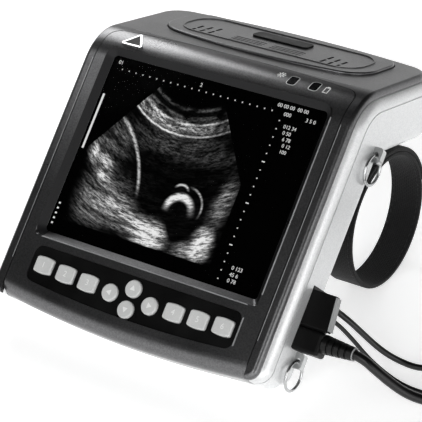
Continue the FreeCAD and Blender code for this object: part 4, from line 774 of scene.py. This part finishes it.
# %% Window pane
PANE_SIZE = (117.8, 89.8, 1.2)
PANE_EDGE = 0.12
PANE_DEPTH = 3.65
block(PANE_SIZE, PANE_EDGE)
clear, tree, surface = finish("coated_clear_acrylic_pane")
place = add(tree, "ShaderNodeTexCoord").outputs["Object"]
smear = add(tree, "ShaderNodeTexNoise", {"Vector": place, "Scale": grain(22), "Detail": 3.0})
gloss = add(tree, "ShaderNodeMapRange", {"Value": smear, "To Min": 0.02, "To Max": 0.1})
shader = add(tree, "ShaderNodeBsdfPrincipled", {
    "Base Color": colour("#050505"), "Roughness": gloss, "Alpha": 0.1, "Specular IOR Level": 0.03,
})
tree.links.new(shader.outputs[0], surface)
pane = settle("window_pane", on_front(0, PANE_DEPTH, 0), clear, "unit")
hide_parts("window_lens")
print("pane set")

# %% [markdown]
# The slope round the window gets painted shade along its top and its left: a dull black sheet keeps it
# dark beside the screen. The sheet is a flat frame pushed down in the middle to the slope's depth. Only
# its two shaded sides are kept, a hair's breadth above the slope.

# %% Window slope painted shade
SLOPE = 3
SHADE_SHEET_SIZE = (121, 93)
SHADE_SHEET_CORNER = 5.2
SHADE_SHEET_END = 20
SHADE_SHEET_LIFT = 0.09
# painted shade: a flat soot-black sheet that keeps the slope dark
painted_shade_black = moulded("dull_black_painted_shade_sheet", ("#161617", "#1E1E1F"), (0.5, 0.6), 0.6, 0.02, DULL)
made = card(*SHADE_SHEET_SIZE, SHADE_SHEET_CORNER, 6)
bpy.ops.mesh.select_mode(type="FACE")
bpy.ops.mesh.inset(thickness=SLOPE, depth=-SLOPE)
bpy.ops.mesh.select_all(action="DESELECT")
bpy.ops.object.mode_set(mode="OBJECT")
for face in made.data.polygons:
    face.select = face.center.z < -0.9 * SLOPE or face.center.x - face.center.y > SHADE_SHEET_END
bpy.ops.object.mode_set(mode="EDIT")
bpy.ops.mesh.delete(type="FACE")
bpy.ops.mesh.select_mode(type="VERT")
thicken(MARK_THICK)
# the sheet of painted shade, laid a hair's breadth above the slope
settle("window_slope_shade", on_front(0, -SHADE_SHEET_LIFT, 0), painted_shade_black, "unit")
print("mask faces:", len(made.data.polygons))

# %% [markdown]
# Each square key carries a plain number and each round key a pointer, printed in a white that is only a
# little lighter than the cap. The row of keys lies on a shallow arc.

# %% Key marks
KEY_TOP = -0.7
KEY_ROW = -60.65
KEY_ROW_RISE = 2.8
KEY_ROW_HALF = 66
NUMBER_SIZE = 3.8
POINTER_RADIUS = 1.6
POINTER_CORNER = 0.3
# soft white with no shine
print_white = moulded("pad_printed_white_ink", ("#E4E5E4", "#EDEEED"), (0.45, 0.55), 0.4, 0.01)
SQUARE_KEYS = {
    "key_left_3": -48.7, "key_left_2": -36.05, "key_left_1": -23.4,
    "key_right_1": 23.4, "key_right_2": 36.05, "key_right_3": 48.7,
}
for number, (key, across_mm) in enumerate(SQUARE_KEYS.items(), 1):
    up_mm = KEY_ROW + KEY_ROW_RISE * (across_mm / KEY_ROW_HALF) ** 2
    digits(key + "_number", str(number), NUMBER_SIZE, on_front(across_mm, KEY_TOP, up_mm), print_white,
           key)
ARROWS = {
    "key_arrow_left": ((-10.8, -61), 90), "key_arrow_right": ((10.8, -61), -90),
    "key_arrow_up": ((0, -56.15), 0), "key_arrow_down": ((0, -65.85), 180),
}
for key, ((across_mm, up_mm), turn) in ARROWS.items():
    bpy.ops.mesh.primitive_circle_add(vertices=3, radius=POINTER_RADIUS, fill_type="NGON")
    bpy.ops.object.mode_set(mode="EDIT")
    bpy.ops.mesh.bevel(offset=POINTER_CORNER, segments=2, affect="VERTICES")
    thicken(MARK_THICK)
    place = on_front(across_mm, KEY_TOP + MARK_THICK / 2, up_mm)
    settle(key + "_pointer", place @ Matrix.Rotation(math.radians(turn), 4, "Z"), print_white,
           key)
print("key marks:", len(SQUARE_KEYS) + len(ARROWS))

# %% [markdown]
# Two small white signs stand beside the lights on the bend: a lamp, drawn as a ring with rays pulled
# out of every other edge, and the outline of a cell with its pole pulled out of the upper edge.

# %% Signs on the bend
SUN_RADIUS = 1.05
SUN_SIDES = 16
SUN_RIM = 0.55
RAY_REACH = 2.0
LAMP_SPOT = (27.0, 41.4)
lamp_sign = ring_card(SUN_RADIUS, SUN_SIDES, SUN_RIM)
bpy.ops.mesh.select_mode(type="EDGE")
bpy.ops.mesh.select_all(action="DESELECT")
bpy.ops.object.mode_set(mode="OBJECT")


def edge_ends(piece, edge):
    """The two points of an edge."""
    return [piece.data.vertices[end].co for end in edge.vertices]


def bearing(edge):
    """The way from the middle of the lamp sign to an edge of it."""
    first, second = edge_ends(lamp_sign, edge)
    return math.atan2(*(first + second).yx)


outside = [edge for edge in lamp_sign.data.edges
           if all(end.length > 0.99 * SUN_RADIUS for end in edge_ends(lamp_sign, edge))]
for edge in sorted(outside, key=bearing)[::2]:
    edge.select = True
bpy.ops.object.mode_set(mode="EDIT")
bpy.ops.mesh.extrude_edges_move()
bpy.ops.transform.resize(value=(RAY_REACH, RAY_REACH, 1))
bpy.ops.mesh.select_mode(type="VERT")
thicken(MARK_THICK)
settle("lamp_sign", on_bend(*LAMP_SPOT, 0), print_white, "unit")

CELL_SIZE = (2.6, 4.0)
CELL_LINE = 0.45
POLE_START = 0.02
POLE_SHARE = 0.45
POLE_TALL = 0.6
CELL_SPOT = (51.7, 35.1)
cell_sign = card(*CELL_SIZE)
bpy.ops.mesh.inset(thickness=CELL_LINE)
bpy.ops.mesh.delete(type="FACE")
bpy.ops.object.mode_set(mode="OBJECT")
for edge in cell_sign.data.edges:
    edge.select = all(end.y > 0.475 * CELL_SIZE[1] for end in edge_ends(cell_sign, edge))
bpy.ops.object.mode_set(mode="EDIT")
bpy.ops.mesh.extrude_edges_move(TRANSFORM_OT_translate={"value": (0, POLE_START, 0)})
bpy.ops.transform.resize(value=(POLE_SHARE, 1, 1))
bpy.ops.mesh.extrude_edges_move(TRANSFORM_OT_translate={"value": (0, POLE_TALL, 0)})
thicken(MARK_THICK)
settle("cell_sign", on_bend(*CELL_SPOT, 0), print_white, "unit")
print("signs on the bend: 2")

# %% [markdown]
# Each light sits in a dark window with a pale edge. It is drawn flat, cut up fine enough to bend,
# pressed onto a cylinder of the bend's radius, and given a little thickness. The cylinder is only a
# form, and goes at the end.

# %% Light windows
LIGHT_ANGLE = 37
LIGHT_SIZE = (4.9, 6.6)
LIGHT_CORNER = 1.5
LIGHT_EDGE = 0.34
LIGHT_LIFT = 0.05
FORM_SIDES = 256
FORM_LENGTH = 0.2
LIGHTS = {"power": 34.1, "charge": 45.4}
# pale grey with a dull metal shine
slot_edge = moulded("pale_moulded_slot_edge", ("#B4B5B6", "#C4C5C5"), (0.3, 0.4), 0.4, 0.02,
                    {"Metallic": 0.5})
bpy.ops.mesh.primitive_cylinder_add(
    vertices=FORM_SIDES, radius=(BEND_RADIUS + LIGHT_LIFT) / 1000, depth=FORM_LENGTH,
    location=PANEL @ Vector((0, BEND_RADIUS, BEND_START)), rotation=(0, math.pi / 2, 0),
)
bend_form = bpy.context.object


def light_window(name, across_mm, keep_rim, material):
    """The rim of a light's window, or the field inside it."""
    made = card(*LIGHT_SIZE, LIGHT_CORNER, 4)
    bpy.ops.mesh.select_mode(type="FACE")
    bpy.ops.mesh.inset(thickness=LIGHT_EDGE)
    if keep_rim:
        bpy.ops.mesh.delete(type="FACE")
    else:
        bpy.ops.mesh.select_all(action="INVERT")
        bpy.ops.mesh.delete(type="FACE")
        bpy.ops.mesh.select_all(action="SELECT")
        bpy.ops.mesh.poke()
    bpy.ops.mesh.select_mode(type="VERT")
    bpy.ops.mesh.select_all(action="SELECT")
    bpy.ops.mesh.subdivide(number_cuts=3)
    bpy.ops.object.mode_set(mode="OBJECT")
    settle(name, on_bend(across_mm, LIGHT_ANGLE, LIGHT_LIFT), material, "unit")
    press = made.modifiers.new("press", "SHRINKWRAP")
    press.target = bend_form
    bpy.ops.object.modifier_apply(modifier="press")
    wall = made.modifiers.new("wall", "SOLIDIFY")
    wall.thickness = MARK_THICK / 1000
    bpy.ops.object.modifier_apply(modifier="wall")
    print(name, len(made.data.polygons), "faces")


for name, across_mm in LIGHTS.items():
    light_window("light_edge_" + name, across_mm, True, slot_edge)
    light_window("light_field_" + name, across_mm, False, smoked)
bpy.data.objects.remove(bend_form)

# %% [markdown]
# The badge is a bare dark field in a silver frame. The field comes from the outer face of the solid
# piece: its triangles are merged into whole faces, the face is inset, and what lies inside is raised a
# hair's breadth.

# %% Badge field
BADGE_ANGLE = 35.5
BADGE_FRAME = 1.0
BADGE_LIFT = 0.05
BADGE_MERGE = 0.000002
# flat dark grey ink
field_grey = moulded("grey_printed_badge_field", ("#3C3C3C", "#484848"), (0.5, 0.6), 0.6, 0.02,
                     {"Specular IOR Level": 0.15})
outward = (on_bend(0, BADGE_ANGLE, 0).to_3x3() @ Vector((0, 0, 1))).normalized()
made = bpy.data.objects.new("badge_field", parts["badge_blank"].data.copy())
bpy.context.scene.collection.objects.link(made)
bpy.ops.object.select_all(action="DESELECT")
made.select_set(True)
bpy.context.view_layer.objects.active = made
bpy.ops.object.mode_set(mode="EDIT")
bpy.ops.mesh.select_all(action="SELECT")
bpy.ops.mesh.remove_doubles(threshold=BADGE_MERGE)
bpy.ops.mesh.select_mode(type="FACE")
bpy.ops.mesh.select_all(action="DESELECT")
bpy.ops.object.mode_set(mode="OBJECT")
for face in made.data.polygons:
    face.select = face.normal.dot(outward) < 0.9
bpy.ops.object.mode_set(mode="EDIT")
bpy.ops.mesh.delete(type="FACE")
bpy.ops.mesh.select_all(action="SELECT")
bpy.ops.mesh.inset(thickness=BADGE_FRAME / 1000)
bpy.ops.mesh.select_all(action="INVERT")
bpy.ops.mesh.delete(type="FACE")
bpy.ops.mesh.select_all(action="SELECT")
bpy.ops.mesh.extrude_region_move(TRANSFORM_OT_translate={"value": outward * BADGE_LIFT / 1000})
bpy.ops.mesh.select_mode(type="VERT")
close_up()
enter(made, "badge_field", field_grey, "unit")
print("badge_field", len(made.data.polygons), "faces")

# %% [markdown]
# A low ridge runs round the louvres on the vent panel. It is a rounded ring, drawn flat, thickened and
# laid on the panel, which has its own lean.

# %% Vent ridge
TOP_LEAN = math.radians(58.8)
TOP_MIDDLE = Vector((0, 36.93, 76.07))
RIDGE_SIZE = (98, 29)
RIDGE_CORNER = 12
RIDGE_WIDE = 0.8
RIDGE_TALL = 0.35
RIDGE_BACK = 1


def on_top(along):
    """Where a sign lies on the vent panel, this far back from its middle."""
    place = TOP_MIDDLE + Vector((0, math.sin(TOP_LEAN), math.cos(TOP_LEAN))) * along
    return Matrix.Translation(PANEL @ place) @ Matrix.Rotation(FACE_TURN - TOP_LEAN, 4, "X")


card(*RIDGE_SIZE, RIDGE_CORNER, 10)
bpy.ops.mesh.inset(thickness=RIDGE_WIDE)
bpy.ops.mesh.delete(type="FACE")
thicken(RIDGE_TALL)
settle("vent_ridge", on_top(RIDGE_BACK), graphite, "unit")
print("ridge laid")

# %% [markdown]
# Thin pale strips paint highlights where edges catch the light. One runs up each side of the front plate
# and
# over the bend: the outline of a thin strip is pulled up the front and then spun round the bend's axis.
# The shorter highlights at the window, the keypad and the top of the plate are thin strips laid flat.

# %% Painted edge highlights
EDGE_WIDE = 0.35
EDGE_TALL = 0.06
EDGE_START = -60
EDGE_SWEEP = 48
EDGE_STEPS = 12
EDGE_MERGE = 0.000005
PLATE_HALF = 66.75
# painted highlight: a paler strip with a soft shine, standing in for light caught by an edge
edge_highlight_paint = moulded("painted_edge_highlight_strip", ("#8C8D8E", "#9E9FA0"), (0.25, 0.35), 0.5, 0.01,
                      {"Metallic": 0.2})


def outline(wide, tall, place, corner=0, rounds=1):
    """Start the outline of a small rectangle at its place, in metres, in edit mode."""
    made = card(wide, tall, corner, rounds)
    bpy.ops.mesh.delete(type="ONLY_FACE")
    bpy.ops.object.mode_set(mode="OBJECT")
    made.matrix_world = place
    bpy.ops.object.transform_apply(location=True, rotation=True, scale=True)
    bpy.ops.object.mode_set(mode="EDIT")
    bpy.ops.mesh.select_all(action="SELECT")
    return made


def seal(gap, ends):
    """Merge points closer than the gap, fill the ends if there are any, and close up."""
    bpy.ops.mesh.select_all(action="SELECT")
    bpy.ops.mesh.remove_doubles(threshold=gap)
    if ends:
        bpy.ops.mesh.select_all(action="DESELECT")
        bpy.ops.mesh.select_non_manifold(extend=False)
        bpy.ops.mesh.fill()
    close_up()


climb = PANEL @ Vector((0, 0, BEND_START)) - PANEL @ Vector((0, 0, EDGE_START))
# a painted highlight up each side of the front plate and over the bend
for side, across_mm in (("left", -PLATE_HALF), ("right", PLATE_HALF)):
    start = Matrix.Translation(PANEL @ Vector((across_mm, 0, EDGE_START)))
    made = outline(EDGE_WIDE / 1000, EDGE_TALL / 1000, start @ Matrix.Rotation(-LEAN, 4, "X"))
    bpy.ops.mesh.extrude_edges_move(TRANSFORM_OT_translate={"value": climb})
    bpy.ops.mesh.spin(steps=EDGE_STEPS, angle=math.radians(EDGE_SWEEP), axis=(-1, 0, 0),
                      center=PANEL @ Vector((0, BEND_RADIUS, BEND_START)))
    seal(EDGE_MERGE, ends=True)
    enter(made, "plate_edge_" + side, edge_highlight_paint, "unit")
    print(made.name, len(made.data.polygons), "faces")

# each painted highlight strip: width and height, and where it lies
STRIPS = {
    "keypad_bevel": ((0.7, 13), on_front(56.4, 0, -59)),
    "plate_edge_top": ((116, 0.3), on_bend(0, 58.3, 0)),
    "window_edge_right": ((0.6, 82), on_front(60.85, 0, 0)),
    "window_edge_low": ((112, 0.5), on_front(0, 0, -46.8)),
}
STRIP_CORNER = 0.1
# painted highlights on the keypad's right bevel, the window's right and lower edges and the plate's top
for name, (size, spot) in STRIPS.items():
    card(*size, STRIP_CORNER, 2)
    thicken(EDGE_TALL)
    settle(name, spot, edge_highlight_paint, "unit")
print("strips:", len(STRIPS))

# %% [markdown]
# Two small pieces belong to the plugs: a thin web that closes the gap between them, and a pale ring
# where the probe lead leaves its strain relief.

# %% Web and ring at the plugs
WEB_SIZE = (11.2, 0.34, 3.2)
WEB_EDGE = 0.05
WEB_PLACE = (81.2, 16.25, -46.1)
block(WEB_SIZE, WEB_EDGE)
settle("plug_web", on_front(*WEB_PLACE), black_abs, "unit")

RELIEF_END = [size / 1000 for size in PROBE_ROUTE[0]]
RELIEF_RADIUS = 3.0
RELIEF_SIDES = 32
RELIEF_RIM = 0.6
RELIEF_THICK = 0.4
ring_card(RELIEF_RADIUS, RELIEF_SIDES, RELIEF_RIM)
thicken(RELIEF_THICK)
settle("relief_ring", Matrix.Translation(RELIEF_END) @ Matrix.Rotation(math.pi / 2, 4, "Y"), pale_abs,
       "unit")
print("web and ring laid")

# %% [markdown]
# The straps are flat woven nylon webbing: black, dull, with a dry sheen and a row of stitches near each
# edge. The weave is a brick pattern wrapped round the strap's axis. Two rows to the millimetre are too
# fine to show, so it is drawn twice as coarse.

# %% Webbing
STRAP_AXIS = PANEL @ Vector((0, 64.8, 15.9379))
STRAP_MIDDLE = 64
STRAP_RADIUS = 32.0
SEAM_PLACE = 6.3
STITCH = 1.5
webbing, tree, surface = finish("woven_black_nylon_webbing")
place = add(tree, "ShaderNodeTexCoord").outputs["Object"]
local = add(tree, "ShaderNodeMapping", {
    "Vector": place, "Location": (0, STRAP_AXIS.y, STRAP_AXIS.z), "Scale": (0.001, 0.001, 0.001),
}, vector_type="TEXTURE")
split = add(tree, "ShaderNodeSeparateXYZ", {"Vector": local})
turned = add(tree, "ShaderNodeMath", {
    0: split.outputs["Z"], 1: split.outputs["Y"],
}, operation="ARCTAN2")
along = add(tree, "ShaderNodeMath", {0: turned, 1: STRAP_RADIUS}, operation="MULTIPLY")
aside = add(tree, "ShaderNodeMath", {0: split.outputs["X"]}, operation="ABSOLUTE")
off_middle = add(tree, "ShaderNodeMath", {0: aside, 1: float(STRAP_MIDDLE)}, operation="SUBTRACT")
wound = add(tree, "ShaderNodeCombineXYZ", {"X": along, "Y": off_middle})
weave = add(tree, "ShaderNodeTexBrick", {
    "Vector": wound, "Color1": colour("#0A0A0A"), "Color2": colour("#121213"),
    "Mortar": colour("#050506"), "Scale": 1.0, "Mortar Size": 0.14, "Mortar Smooth": 0.8,
    "Brick Width": 2.0, "Row Height": 1.0,
})
from_middle = add(tree, "ShaderNodeMath", {0: off_middle}, operation="ABSOLUTE")
stitches = add(tree, "ShaderNodeMath", {0: along, 1: STITCH}, operation="PINGPONG")
seam = faded(line_at(from_middle, SEAM_PLACE, 0.45, 1.0), stitches, 0.6, 0.9)
fuzz = add(tree, "ShaderNodeTexNoise", {"Vector": place, "Scale": grain(0.5), "Detail": 3.0})
tint = add(tree, "ShaderNodeMix", {
    "Factor": seam, "A": weave, "B": colour("#232324"),
}, data_type="RGBA")
thread = add(tree, "ShaderNodeMath", {0: seam, 1: weave.outputs["Fac"]}, operation="SUBTRACT")
height = add(tree, "ShaderNodeMath", {0: fuzz, 1: 0.3, 2: thread}, operation="MULTIPLY_ADD")
gloss = add(tree, "ShaderNodeMapRange", {
    "Value": fuzz, "From Min": 0.2, "From Max": 0.8, "To Min": 0.65, "To Max": 0.9,
})
bump = add(tree, "ShaderNodeBump", {"Height": height, "Strength": 0.7, "Distance": 0.0003})
shader = add(tree, "ShaderNodeBsdfPrincipled", {
    "Base Color": tint, "Roughness": gloss, "Normal": bump, "Specular IOR Level": 0.2,
    "Sheen Weight": 0.08, "Sheen Roughness": 0.5,
})
tree.links.new(shader.outputs[0], surface)
print("webbing drawn with", len(tree.nodes), "nodes")

# %% [markdown]
# Each strap is a closed loop and a flap that lies back over it and ends in a loose tab. A rounded
# cross-section is spun round the strap's axis, and the flap's last edge is pulled out along a line that
# leaves the loop.

# %% Straps
STRAP_WIDE = 15.8
STRAP_ROUND = 0.7
STEP_DEGREES = 5
SMOOTH_BELOW = 40
STRAP_MERGE = 0.00002
TAB_TURN = 96
TAB_STEP = 3.5
TAB_SHARES = (0.3, 1.0, 2.4)
# each band: inner radius, thickness, first and last angle
BANDS = {"loop": (30.05, 2.1, 0, 360), "flap": (32.3, 2.0, 165, 276)}


def band(name, middle, radius, thick, start, end, tab):
    """One band of webbing round the strap's axis."""
    turn = math.radians(start) - LEAN
    ray = Vector((0, math.cos(turn), math.sin(turn)))
    place = STRAP_AXIS + Vector((middle / 1000, 0, 0)) + ray * (radius + thick / 2) / 1000
    made = outline(STRAP_WIDE / 1000, thick / 1000,
                   Matrix.Translation(place) @ Matrix.Rotation(turn, 4, "X"), STRAP_ROUND / 1000, 3)
    bpy.ops.mesh.spin(steps=round((end - start) / STEP_DEGREES), angle=math.radians(end - start),
                      center=STRAP_AXIS, axis=(1, 0, 0))
    if tab:
        leave = math.radians(end + TAB_TURN) - LEAN
        pull = Vector((0, math.cos(leave), math.sin(leave))) * TAB_STEP / 1000
        for share in TAB_SHARES:
            bpy.ops.mesh.extrude_edges_move(TRANSFORM_OT_translate={"value": pull * share})
    seal(STRAP_MERGE, ends=tab)
    bpy.ops.object.shade_smooth_by_angle(angle=math.radians(SMOOTH_BELOW))
    enter(made, name, webbing, "unit")
    print(name, [round(size, 4) for size in made.dimensions])
    return made


for side, middle in (("left", -STRAP_MIDDLE), ("right", STRAP_MIDDLE)):
    loop = band("strap_%s_loop" % side, middle, *BANDS["loop"], tab=False)
    band("strap_%s_flap" % side, middle, *BANDS["flap"], tab=True)
    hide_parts("strap_" + side)
